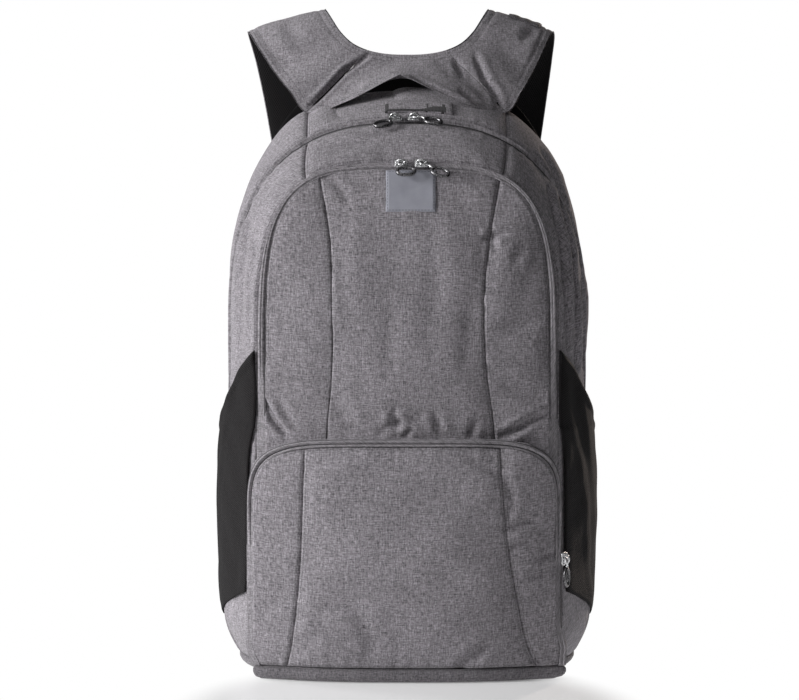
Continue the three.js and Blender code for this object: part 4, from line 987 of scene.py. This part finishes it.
def arched_zip(name, start, end, cord, grooves, arched=2.0, shown=None):
    """arched: how far down from the top the coil shows, 1 being the foot."""
    profile = flap_relief(cord, grooves, arched)
    if shown is not None:
        profile = faded(profile, shown, ZIP_PROUD)
    drape(f"cloth_{name}", name, on_wall(start + AT_GAP, end - AT_GAP, along(-1, 1), ZIP_PROUD), (420, 32),
          profile, ZIP_THICKNESS, [FLAP, COIL_AND_SHADE], seam=0.6, choose=flap_choice(grooves, arched),
          shown=shown)


arched_zip("main_zip", MAIN_ZIP_AT - ZIP_HALF_AT, MAIN_ZIP_AT + ZIP_HALF_AT, 0.3, [(0.72, 0.25, 3.0)])
arched_zip("front_zip", FRONT_ZIP_OUTER, FRONT_ZIP_INNER, 0.45, [(0.09, 0.08, 1.6), (0.9, 0.07, 1.4)], 0.58,
           front_shown)


# Front panel and lower pocket
def on_face(point, plan, lift=0.0):
    def surface(i, j):
        x, z = plan(i, j)
        return point(x, z) + normal_of(point, x, z, MM_STEP, MM_STEP) * lift
    return surface


def face_relief(seed, creases, puff=0.8):
    def relief(points, u, v, edge, i, j):
        puffed = puff * ramp(edge, 0, 10) ** 0.7 - puff * 0.4
        return (puffed + creased(points, creases) + ripple(u, v, seed, 75, 0.85) * ramp(edge, 0, 10)
                + puckers(v, np.minimum(u, u[:, -1:] - u), seed, 16, 0.35, 8)
                + puckers(u, v, seed + 1, 13, 0.4, 9) + puckers(u, v[-1:, :] - v, seed + 2, 13, 0.5, 11))
    return relief


PARTS = ("left", "centre", "right")
plans = face_plans(front_edge, front_seam, ARCH_SHARE, 4 * V_GAP)
for part, plan, size, seed in zip(PARTS, plans, ((190, 38), (200, 76), (190, 38)), (31, 32, 33)):
    drape(f"cloth_front_panel_{part}", f"front_panel_{part}", on_face(front_point, plan), size,
          face_relief(seed, FRONT_CREASES), planar=True, shown=panel_shown)
plans = face_plans(pocket_inner, pocket_seam, POCKET_ARCH, 8 * V_GAP, 8 * V_GAP)
for part, plan, columns, seed in zip(PARTS, plans, (26, 96, 26), (41, 42, 43)):
    drape(f"cloth_pocket_panel_{part}", f"pocket_panel_{part}", on_face(pocket_point, plan), (92, columns),
          face_relief(seed, POCKET_CREASES, 1.0), planar=True, warp=pocket_warp,
          sides="tblr" if part == "centre" else "bl")


def pocket_ring(i, j):
    v = mix(-1, 1, i)
    x0, z0 = pocket_edge(v, 0)
    x1, z1 = pocket_edge(v, POCKET_ZIP_WIDTH)
    return mix(x0, x1, j), mix(z0, z1, j)


POCKET_GROOVES = [(0.62, 0.07, 1.3)]


def pocket_coil_and_shade(i, j, u, v):
    """The coil shows over the arch; the ring's outer edge over the arch, and its outer part down the right
    side past the slider, take the coil's dark colour as painted shade.
    """
    arched = np.abs(2 * i - 1) < 0.6
    # Painted shade down the right side of the ring's outer part
    side = (j < 0.36) & (2 * i - 1 > 0.52) & (2 * i - 1 < 0.87)
    # The coil over the arch, a painted shadow line along the ring's outer edge there, and the painted shade
    # down the right side
    return (flap_choice(POCKET_GROOVES)(i, j, u, v) & arched) | ((j < 0.1) & arched) | side


drape("cloth_pocket_zip", "pocket_zip", on_face(pocket_point, pocket_ring, ZIP_PROUD), (300, 28),
      faded(flap_relief(0.3, POCKET_GROOVES, 0.64), pocket_shown, ZIP_PROUD), CLOTH - SEAM_GAP, [FLAP, COIL_AND_SHADE],
      sides="l", seam=0.5, choose=pocket_coil_and_shade, warp=pocket_warp, shown=pocket_shown)
i, j = shares(280, 12)
wall_out, wall_in = pocket_warp(gusset(0)(i, j)), pocket_warp(gusset(CLOTH)(i, j))
u, v = lengths(wall_out)
folds = puckers(v, u * 0 + 3, 51, 22, 0.9, 60) * np.sin(math.pi * j)
wall_out = wall_out + grid_normals(wall_out, CENTRE) * (folds - 0.5)[..., None]
solid("cloth_pocket_wall", wall_out, wall_in, [GREY], edges(u, v, "r"), u, v,
      node="pocket_wall")


# Side pockets
def side_point(side, at, z):
    row = wall_row(at)
    return np.stack([side * wall_half(row, z), -wall_depth(row, z), z], axis=-1)


def side_pocket(side, extra):
    def surface(i, j):
        top, bottom = [column(SIDE_POCKET, k, i) * BODY_HEIGHT for k in (1, 2)]
        z = mix(bottom, top, j)
        at = mix(SIDE_POCKET_BACK, column(SIDE_POCKET_FRONT[side], 1, z / BODY_HEIGHT), i)
        normal = -side * normal_of(lambda a, b: side_point(side, a, b), at, z, SHARE_STEP, MM_STEP)
        full = SIDE_POCKET_FULLNESS * column(SIDE_POCKET, 3, i) * (1 - (1 - j) ** 4) * (1 - 0.45 * j ** 4)
        clear = 1.2 * ramp(i, 0.75, 1) * (z < POCKET_HEIGHT + 6)
        return side_point(side, at, z) + normal * (SEAM_GAP + ZIP_PROUD + full + extra + clear)[..., None]
    return surface


def mesh_relief(seed, side):
    """A thicker rim, and groups of soft folds that stand nearly upright."""
    def relief(points, u, v, edge, i, j):
        y, z = points[..., 1], points[..., 2]
        rim = 1.1 * ramp(np.abs(j - 0.975), 0.025, 0) ** 0.5
        upright = y * 0.9 + 0.22 * z + 4 * np.sin(z / 31.0)
        folds = np.sin(upright / 4.2) * np.clip(np.sin(upright / 11.0 + side), 0, 1)
        return rim + 0.9 * folds * ramp(edge, 0, 12) + ripple(u, v, seed, 45, 0.35)
    return relief


for side, part in ((-1, "left"), (1, "right")):
    drape(f"mesh_side_pocket_{part}", f"side_pocket_{part}", side_pocket(side, MESH_CLOTH), (70, 90),
          mesh_relief(61 + side, side), MESH_CLOTH, [MESH], seam=0.4)

# Base: a tray of cloth, rounded at the foot
BASE_SIDE_END = 0.79
FLOOR_INSET = 60.0
BASE_CENTRE = np.array([0.0, -BODY_DEPTH / 2])


def base_rim():
    at = np.linspace(0, BASE_SIDE_END, 40)
    left = side_point(-1, at, np.full(at.shape, BASE_HEIGHT))[:, :2]
    half = abs(float(pocket_edge(np.array(1.0), 0)[0]))
    x = np.linspace(-half, half, 90)
    front = pocket_warp(pocket_point(x, np.full(x.shape, BASE_HEIGHT)))[:, :2]
    right = left[::-1] * [-1, 1]
    x = np.linspace(-left[0, 0], left[0, 0], 60)
    back = np.stack([x, np.full(x.shape, SEAM_GAP + BACK_PADDING)], -1)
    return np.concatenate([left, front, right, back])


rim = base_rim()
step = np.linalg.norm(np.diff(np.vstack([rim, rim[:1]]), axis=0), axis=1)
rim_run = np.concatenate([[0], np.cumsum(step)])[:-1]
# Insets and heights from the floor up to the rim
BASE_PROFILE = [(FLOOR_INSET, 0.0), (BASE_ROUNDING + 2, 0.0), (BASE_ROUNDING, 0.0),
                (BASE_ROUNDING * 0.6, 0.6), (BASE_ROUNDING / 4, BASE_ROUNDING / 3), (0.6, 4.6),
                (0.0, BASE_ROUNDING), (0.0, 9.5), (0.5, 10.8), (1.4, BASE_HEIGHT - SEAM_GAP)]


def ring_at(inset, z):
    side = 1 + 1.3 * ramp(np.abs(rim[:, :1]), 122, 130) * (inset < FLOOR_INSET)
    scale = 1 - side * inset / np.array([HALF_WIDTH, BODY_DEPTH / 2])
    flat = (rim - BASE_CENTRE) * scale
    wobble = 0.35 * np.sin(rim_run / 9.0) * np.sin(rim_run / 31.0) * ramp(z, 0, 6)
    return np.column_stack([BASE_CENTRE + flat + unit(flat) * wobble[:, None], np.full(len(rim), z)])


def inner_ring(inset, z):
    return ring_at(max(inset, BASE_CLOTH), max(z, BASE_CLOTH))


outer, inner = [np.stack([ring(*row) for row in BASE_PROFILE]) for ring in (ring_at, inner_ring)]
v_run = np.cumsum([0, 50] + [2.5] * (len(BASE_PROFILE) - 2)).astype(float)
u, v = np.broadcast_arrays(rim_run, v_run[:, None])
solid("cloth_base_ring", outer, inner, [SHADED_BASE], (np.abs(v - v_run[-1]), u), u, v,
      closed_rows=True, node="base_panel")
hub = np.array([*BASE_CENTRE, 0.0])
floor_out = hub + (ring_at(FLOOR_INSET, 0.0) * [1, 1, 0] - hub) * np.linspace(0.02, 1.02, 12)[:, None, None]
floor_in = floor_out + [0, 0, BASE_CLOTH]
u, v = floor_out[..., 0] + 200, floor_out[..., 1] + 200
solid("cloth_base_floor", floor_out, floor_in, [SHADED_BASE], (u * 0 + 99, u), u, v, closed_rows=True)

# Back panel: spacer mesh with sewn channels, one upright and six across, which rise from the middle
CHANNEL_FOOT = 90
CHANNEL_STEP = 74
CHANNEL_DEPTH = 3.4
PADDING_SWELL = 1.6


def back_surface(i, j):
    x, z = back_plan(i, j, BACK_PADDING / 4)
    edge = np.minimum.reduce([np.ones(i.shape), 5 * np.minimum(j, 1 - j), 6 * i, 6 * (1 - i)])
    return np.stack([x, SEAM_GAP + BACK_PADDING * mix(0.5, 1, edge), z], axis=-1)


def back_relief(points, u, v, edge, i, j):
    x, z = points[..., 0], points[..., 2] - CHANNEL_FOOT
    rows = sum(hump(z - 0.35 * np.abs(x) - k * CHANNEL_STEP, 3.2) for k in range(6))
    channel = np.clip(np.maximum(hump(x, 9) * (z > 0), rows * (np.abs(x) > 7)), 0, 1)
    swell = PADDING_SWELL * ramp(edge, 0, 22) ** 0.6
    return swell - CHANNEL_DEPTH * channel * ramp(edge, 0, 14) + ripple(u, v, 71, 80, 0.25)


piece = drape("padding_back_panel", "back_panel", back_surface, (170, 110), back_relief, BACK_PADDING * 0.45,
              [PAD_MESH], seam=1.5, middle=np.array([0.0, -80.0, 250.0]))


# Harness: its seams and stitches lie this far in from the edges, and its creases end behind the yoke
BAND_STEPS = (SHARE_STEP, 0.02)
BAND_SEAM_IN, BAND_STITCHES_IN = 6.5, 5.5
BAND_CREASE_END = 45.0


def harness_piece(name, node, t_from, t_to, size, padded=True):
    """A band of the harness, of grey cloth. Where it is padded, its lower sheet is spacer mesh."""
    i, j = shares(*size)
    t = mix(t_from, t_to, i)
    normal = normal_of(harness_point, np.clip(t, -0.99, 0.99), np.clip(j, 0.05, 0.95), *BAND_STEPS)
    points = harness_point(t, j)
    u, v = lengths(points)
    thick = harness_thickness(t)
    edge = np.minimum(u, u[:, -1:] - u)
    round_off = mix(STRAP_EDGE_SHARE, 1, np.sin(math.pi * j) ** 0.6)
    crown = thick * (round_off - 1) * 0.5
    seam = -0.9 * hump(edge - BAND_SEAM_IN, 1.2) * ramp(thick, 5, 8)
    soft = (creased(points, TOP_CREASES) * ramp(edge, 0, 3) * (points[..., 1] < BAND_CREASE_END)
            + ripple(u, v, len(name), 55, 0.4) * ramp(edge, 0, 8))
    outer = points + normal * (crown + seam + soft)[..., None]
    inner = points + normal * (-thick * round_off - crown)[..., None]
    stitched = (np.abs(edge - BAND_STITCHES_IN) + 0.4, v)
    u, v = points[..., 0], points[..., 2] + 0.8 * points[..., 1]
    piece = solid(name, outer, inner, [GREY, PAD_MESH] if padded else [GREY], stitched, u, v,
                  node=node)
    if padded:
        sheet = size[0] * size[1]
        below = np.zeros(len(piece.data.polygons), np.int32)
        below[sheet:2 * sheet] = 1
        piece.data.polygons.foreach_set("material_index", below)


harness_piece("cloth_yoke", "yoke", -YOKE_END + T_GAP, YOKE_END - T_GAP, (110, 40), padded=False)
harness_piece("padding_strap_left", "shoulder_strap_left", -1, -YOKE_END - T_GAP, (300, 36))
harness_piece("padding_strap_right", "shoulder_strap_right", YOKE_END + T_GAP, 1, (300, 36))


# Label and lock tab
def label_surface(i, j):
    x = LABEL_RIGHT_OF_CENTRE + (j - 0.5) * LABEL_WIDTH
    z = FRONT_ROW[1] - LABEL_BELOW_ZIP - i * LABEL_HEIGHT
    return front_point(x, z) + normal_of(front_point, x, z, MM_STEP, MM_STEP) * PATCH_LIFT


def label_relief(points, u, v, edge, i, j):
    return ripple(u, v, 81, 30, 0.12) - 0.5 * hump(edge, 0.8) - 0.25 * hump(edge - 1.3, 0.5)


drape("cloth_label", "label", label_surface, (60, 76), label_relief, 0.8, [LABEL], seam=0.3)

lock_end = MAIN_ZIP_AT - 2.5 * ZIP_HALF_AT
lock_start = lock_end - LOCK_TAB_WIDTH / BODY_DEPTH
lock_row = wall_row(np.array(MAIN_ZIP_AT))


def v_across(row, right):
    return right / row[0] * ARCH_SHARE * (2 / math.pi)


def lock_v(i):
    return v_across(lock_row, LOCK_TAB_RIGHT_OF_CENTRE + (i - 0.5) * LOCK_TAB_LENGTH)


def lock_parts_and_shade(i, j, u, v):
    # Painted shadow: a dark strip along the tab's lower edge, widest towards its right end
    line = (j > 0.86 - 0.3 * ramp(i, 0.5, 0.7)) & (j < 0.97) & (i > 0.05) & (i < 0.9)
    hook = (i < 0.045) & (j > 0.25)
    cross = ((np.abs(i - 0.62) < 0.015) | (np.abs(i - 0.86) < 0.018)) & (j > 0.3)
    return (line | hook | cross).astype(int)


def lock_relief(points, u, v, edge, i, j):
    return 0.5 * np.sin(math.pi * i) + 0.3 * np.sin(i * 9) - 0.5 * hump(edge, 0.8)


drape("webbing_lock_tab", "lock_tab", on_wall(lock_start, lock_end, lock_v, SEAM_GAP + WEB_THICKNESS),
      (70, 16), lock_relief, WEB_THICKNESS, [GREY, WEB_AND_SHADE], seam=0.2, choose=lock_parts_and_shade)


# Bands of webbing, bent along a path
def band(name, node, centres, wide, rows=120):
    """A flat band through the centres, as wide as given along the direction of wide."""
    i, j = np.meshgrid(np.linspace(0, 1, rows + 1), np.linspace(-1, 1, 17), indexing="ij")
    middle = curve_point(np.array(centres), i)
    tangent = unit(np.gradient(middle, axis=0))
    wide = unit(wide - tangent * np.sum(wide * tangent, axis=-1, keepdims=True))
    normal = np.cross(tangent, wide)
    u, v = (j + 1) * WEB_WIDTH / 2, lengths(middle)[1]
    half = WEB_THICKNESS / 2 * (1 - 0.35 * np.abs(j) ** 8) + 0.07 * np.sin(u * 2 * math.pi / 3.0)
    line = middle + wide * (j * WEB_WIDTH / 2)[..., None]
    outer, inner = line + normal * half[..., None], line - normal * half[..., None]
    solid(name, outer, inner, [WEB_AND_SHADE], (np.minimum(u, WEB_WIDTH - u) + 0.9, v), u, v, node=node)


WEB_LIFT = (BUCKLE_THICKNESS + WEB_THICKNESS) / 2 + SEAM_GAP
BUCKLE_HEIGHT = 3 * BUCKLE_BAR + 2 * SLOT_HEIGHT
ANCHOR_BACK = 2 * SEAM_GAP + BACK_PADDING + CLOTH
for part, side in (("left", -1), ("right", 1)):
    inner_end, end, outer_end = [harness_point(float(side), across) for across in (1.0, 0.5, 0.0)]
    anchor_depth = ANCHOR_BACK + WEB_THICKNESS / 2 + 3 * SEAM_GAP
    seat = np.array([side * (ANCHOR_REACH - ANCHOR_IN), anchor_depth, ANCHOR_UP + ANCHOR_ABOVE])
    down = unit(seat - end)
    wide = -side * (inner_end - outer_end)
    wide = unit(wide - down * np.dot(wide, down))
    back = np.cross(wide, down)
    facing = np.sign(back[1])
    origin = end + down * (LOOP_LENGTH + LOOP_SEAT) - back * facing * STRAP_THICKNESS / 2

    def spot(d, n):
        return origin + down * d + back * n

    def bend(edge, way):
        angles = [math.radians(a) for a in (-60, -30, 0, 30, 60)]
        return [spot(edge + way * WEB_LIFT * math.cos(a), -WEB_LIFT * math.sin(a)) for a in angles]

    def flat_on(d):
        return spot(d, (anchor_depth - origin[1] - d * down[1]) / back[1])

    loop = [spot(-LOOP_LENGTH, WEB_LIFT), spot(0, WEB_LIFT), spot(BUCKLE_BAR, WEB_LIFT), *bend(BUCKLE_BAR, 1),
            spot(BUCKLE_BAR, -WEB_LIFT), spot(0, -WEB_LIFT), spot(-LOOP_LENGTH, -WEB_LIFT)]
    band(f"webbing_loop_{part}", f"strap_loop_{part}", loop, wide)
    low_bar = BUCKLE_HEIGHT - BUCKLE_BAR
    turned = bend(low_bar, -1)
    if facing < 0:
        turned.reverse()
    over, seat_at = facing * WEB_LIFT, np.dot(seat - origin, down)
    route = [spot(BUCKLE_HEIGHT + STRAP_TAIL, over + facing * TAIL_LIFT), spot(BUCKLE_HEIGHT, over),
             spot(low_bar, over), *turned, spot(low_bar, -over), spot(BUCKLE_HEIGHT, -over), flat_on(seat_at),
             flat_on(seat_at + ANCHOR_OVERLAP)]
    band(f"webbing_lower_{part}", f"strap_webbing_{part}", route, wide, rows=260)

    # Cloth triangle in the side seam that holds the lower end
    root = BACK_ROW[0] - ANCHOR_ROOT / 2

    def anchor(i, j):
        reach = np.interp(i, [0, 0.2, 0.4, 0.65, 0.86, 1], [0, 0.75, 1, 0.97, 0.65, 0])
        x = side * mix(root, mix(root, ANCHOR_REACH, reach), j)
        return np.stack([x, ANCHOR_BACK + 0 * x, ANCHOR_UP + ANCHOR_HEIGHT * (0.5 - i)], axis=-1)

    drape(f"cloth_anchor_{part}", f"strap_anchor_{part}", anchor, (40, 24),
          lambda points, u, v, edge, i, j: ripple(u, v, 93, 30, 0.25) - 0.3, CLOTH - 0.4, seam=0.3,
          middle=np.array([0.0, -80.0, 86.0]))


# Fold of webbing over the right strap
def shoulder_tab(i, j):
    t, across = mix(0.442, 0.515, i), mix(0.2, 0.68, j)
    return harness_point(t, across) + normal_of(harness_point, t, across, *BAND_STEPS) * PATCH_LIFT


drape("webbing_shoulder_tab", "shoulder_tab_right", shoulder_tab, (24, 30),
      lambda points, u, v, edge, i, j: 0.25 * np.sin(u / 1.6) - 0.4, 1.2, [WEB_GREY], seam=0.3)


# Zip sliders and pulls, from bent rods and rounded bodies
def rod(path, radius, closed=False, sides=10):
    """Points and faces of a rod along a path."""
    path = np.array(path)
    ahead, behind = np.roll(path, -1, axis=0), np.roll(path, 1, axis=0)
    if not closed:
        ahead[-1], behind[0] = 2 * path[-1] - path[-2], 2 * path[0] - path[1]
    up = np.array([0.0, 0.0, 1.0]) if np.ptp(path[:, 2]) < 0.8 * radius else np.array([0.0, 1.0, 0.0])
    tangent = unit(ahead - behind)
    first = unit(np.cross(tangent, up))
    second = np.cross(tangent, first)
    angle = np.linspace(0, 2 * math.pi, sides, endpoint=False)[:, None]
    ring = first[:, None] * np.cos(angle) + second[:, None] * np.sin(angle)
    n = len(path)
    faces = []
    for a in range(n if closed else n - 1):
        b = (a + 1) % n
        for k in range(sides):
            l = (k + 1) % sides
            faces.append((a * sides + k, b * sides + k, b * sides + l, a * sides + l))
    if not closed:
        faces += [tuple(range(sides))[::-1], tuple((n - 1) * sides + k for k in range(sides))]
    return (path[:, None] + radius * ring).reshape(-1, 3), faces


def pebble(size, centre, square=0.35, steps=14):
    """Rounded box."""
    power = lambda value: math.copysign(abs(value) ** square, value)
    points, faces = [], []
    around = 2 * steps
    for a in range(steps + 1):
        tilt = math.pi * (a / steps - 0.5)
        for k in range(around):
            turn = math.pi * k / steps
            wide = power(math.cos(tilt))
            point = (wide * power(math.cos(turn)), wide * power(math.sin(turn)), power(math.sin(tilt)))
            points.append([c + d / 2 * p for c, d, p in zip(centre, size, point)])
    for a in range(0, steps * around, around):
        for k in range(around):
            l = (k + 1) % around
            faces.append((a + k, a + l, a + around + l, a + around + k))
    return np.array(points), faces


def oval(centre, long, wide, turn, power=2.3, count=40):
    angle = np.linspace(0, 2 * math.pi, count, endpoint=False)
    cos, sin = np.cos(angle), np.sin(angle)
    radius = (np.abs(cos) ** power + np.abs(sin) ** power) ** (-1 / power)
    x, y = radius * cos * long / 2, radius * sin * wide / 2
    turn = math.radians(turn)
    return np.stack([centre[0] + x * math.cos(turn) - y * math.sin(turn),
                     centre[1] + x * math.sin(turn) + y * math.cos(turn), 0 * x + centre[2]], axis=-1)


def metalwork(name, node, parts, axes, seat):
    """parts: list of (points, faces, material). axes: rows are the directions of x, y and z."""
    mesh = bpy.data.meshes.new(name)
    points, faces, which, materials = [], [], [], []
    for part_points, part_faces, material in parts:
        if material not in materials:
            materials.append(material)
            mesh.materials.append(material)
        offset = sum(len(p) for p in points)
        points.append(np.array(part_points) @ axes + seat)
        faces += [tuple(k + offset for k in face) for face in part_faces]
        which += [materials.index(material)] * len(part_faces)
    mesh.from_pydata(world(np.concatenate(points)).tolist(), [], faces)
    mesh.polygons.foreach_set("material_index", np.array(which, np.int32))
    mesh.validate()
    add_piece(name, mesh, node)


# Half of the bail over a slider, and the height of the pull's parts above the zip
BAIL = [[-3.4, 0, 1.4], [-3.3, 0, 3.2], [-2.4, 0, 4.6], [-1, 0, 5.1]]
PULL_LIFT = 3.2


def zip_set(name, point, normal, along_zip, link, turn):
    """link: place of the oval's centre, along the zip and across it towards the front; turn: its lie."""
    across = unit(np.cross(normal, along_zip))
    axes = np.stack([unit(np.cross(across, normal)), across, normal])
    seat = point + normal * (ZIP_PROUD + 2 * SEAM_GAP)
    bail = np.array(BAIL + [[-x, y, z] for x, y, z in reversed(BAIL)], float)
    body = [(*pebble((SLIDER_LENGTH, SLIDER_WIDTH, 1.5), (0, 0, 0.75)), BRIGHT),
            (*pebble((SLIDER_LENGTH * 0.8, SLIDER_WIDTH * 0.62, 1.6), (0, 0, 2.1), 0.5), BRIGHT),
            (*pebble((2.2, SLIDER_WIDTH * 0.9, 2.8), (-SLIDER_LENGTH * 0.36, 0, 1.5), 0.5), BRIGHT),
            (*rod(curve_point(bail, np.linspace(0, 1, 24)), 0.8), BRIGHT)]
    metalwork(f"metal_{name}_slider", f"{name}_slider", body, axes, seat)
    reach = math.hypot(*link)
    lay = np.array(link) / reach
    start, near = lay * 2.0, lay * (reach - 7.0)
    middle = (start + near) / 2 + lay * 0.9
    bar = [[*(start + lay * 1.8), PULL_LIFT], [*middle, PULL_LIFT + 0.5], [*near, PULL_LIFT]]
    pull = [(*rod(oval((*start, PULL_LIFT), 5.2, 4.6, 0), 0.75, closed=True), BRIGHT),
            (*rod(bar, 0.95), BRIGHT),
            (*rod(oval((*link, PULL_LIFT), PULL_LENGTH, PULL_WIDTH - 0.6, turn), 1.4, True, 12), GUNMETAL)]
    metalwork(f"metal_{name}_pull", f"{name}_pull", pull, axes, seat)


FRONT_ZIP_AT = (FRONT_ZIP_OUTER + FRONT_ZIP_INNER) / 2
for name, at, right, link, turn in (
    ("main_left", MAIN_ZIP_AT, -10.0, (-9.5, -12.5), 20.0),
    ("main_right", MAIN_ZIP_AT, 6.0, (15.5, -8.5), -20.0),
    ("front_left", FRONT_ZIP_AT, -5.0, (4.0, -10.5), 0.0),
    ("front_right", FRONT_ZIP_AT, 11.5, (15.0, -11.5), -24.0),
):
    v = v_across(wall_row(np.array(at)), right)
    run = unit(wall_point(at, v + SHARE_STEP) - wall_point(at, v - SHARE_STEP))
    normal = normal_of(wall_point, at, v, SHARE_STEP, SHARE_STEP)
    zip_set(name, wall_point(at, v), normal, run, link, turn)


def pocket_zip_point(v):
    return pocket_warp(pocket_point(*pocket_edge(np.array(v), 0.5)))


POCKET_SLIDER_V = 0.64
run = unit(pocket_zip_point(POCKET_SLIDER_V + SHARE_STEP) - pocket_zip_point(POCKET_SLIDER_V))
facing = unit(np.array([0.9, -0.43, 0.0]))
facing = unit(facing - run * np.dot(facing, run))
zip_set("pocket", pocket_zip_point(POCKET_SLIDER_V), facing, run, (15.0, 0.0), 0.0)

# Buckles keep the solids of the part
for name in ("strap_buckle_left", "strap_buckle_right"):
    node = frame["nodes"][name]
    node.data.materials.clear()
    node.data.materials.append(BUCKLE)


# Light, floor and camera
def area(name, place, aim, size, power, color=(1, 1, 1)):
    light = bpy.data.lights.new(name, "AREA")
    light.shape = "RECTANGLE"
    light.size, light.size_y = size
    light.energy = power
    light.color = color
    lamp = add(name, light)
    lamp.location = place
    lamp.rotation_euler = (Vector(aim) - Vector(place)).to_track_quat("-Z", "Y").to_euler()


area("key", (-2.45, -0.95, 1.0), (0, 0, 0.27), (0.9, 1.3), 106)
area("top", (-0.5, -0.6, 2.4), (0, 0, 0.3), (1.2, 0.9), 9)
area("rim", (-2.3, 1.0, 0.8), (0, 0, 0.27), (0.5, 1.3), 24)
area("warm", (1.3, 2.1, 0.7), (0.1, 0, 0.27), (0.15, 1.1), 30, (1.0, 0.84, 0.74))
area("fill", (-0.3, -3.0, 0.7), (0, 0, 0.25), (1.2, 1.2), 6)

# The camera sees a white world, which lights the bag only a little
sky = bpy.data.worlds.new("studio")
bpy.context.scene.world = sky
sky.use_nodes = True
tree = sky.node_tree
tree.nodes.clear()
blend = tree.nodes.new("ShaderNodeMixShader")
tree.links.new(tree.nodes.new("ShaderNodeLightPath").outputs["Is Camera Ray"], blend.inputs[0])
for slot, strength in ((1, 0.05), (2, 1.0)):
    glow = tree.nodes.new("ShaderNodeBackground")
    glow.inputs[0].default_value = (1, 1, 1, 1)
    glow.inputs[1].default_value = strength
    tree.links.new(glow.outputs[0], blend.inputs[slot])
tree.links.new(blend.outputs[0], tree.nodes.new("ShaderNodeOutputWorld").inputs[0])

# Half sizes of the floor, in metres
FLOOR_X, FLOOR_Y = 0.8, 0.7
mesh = bpy.data.meshes.new("floor")
corners = [(x * FLOOR_X, y * FLOOR_Y, 0) for x, y in ((-1, -1), (1, -1), (1, 1), (-1, 1))]
mesh.from_pydata(corners, [], [(0, 1, 2, 3)])
floor = add("floor", mesh)
# The floor shows the bag's shade near it and fades to plain white further out
s = Shader("pale floor", **{"Roughness": 0.3, "Specular IOR Level": 0.3})
s.set(s.surface, {"Base Color": (0.8, 0.8, 0.805, 1), "Emission Color": (1, 1, 1, 1),
                  "Emission Strength": 0.16})
where = s.node("Mapping", {"Vector": s.node("TexCoord", output=3), "Location": (0, 1.15, 0),
                           "Scale": (5.6, 5.0, 1)})
distance = s.node("VectorMath", {0: where}, output=1, operation="LENGTH")
white = s.node("Emission", {"Color": (1, 1, 1, 1), "Strength": 1.0})
fade = s.node("MapRange", {0: distance, 1: 0.8, 2: 1.08}, interpolation_type="SMOOTHSTEP")
both = s.node("MixShader", {0: fade, 1: s.surface.outputs[0], 2: white})
s.links.new(both, s.nodes["Material Output"].inputs["Surface"])
mesh.materials.append(s.material)

eye = bpy.data.cameras.new("camera")
eye.lens, eye.sensor_width, eye.sensor_fit = LENS, SENSOR, "HORIZONTAL"
eye.clip_end = 100
camera = add("camera", eye)
aim = Vector(world(AIM).tolist())
camera.location = aim + Vector((0, -math.cos(ELEVATION), math.sin(ELEVATION))) * (DISTANCE / 1000.0)
camera.rotation_euler = (math.pi / 2 - ELEVATION, 0, 0)
bpy.context.scene.camera = camera
bpy.context.scene.view_settings.view_transform = "Standard"
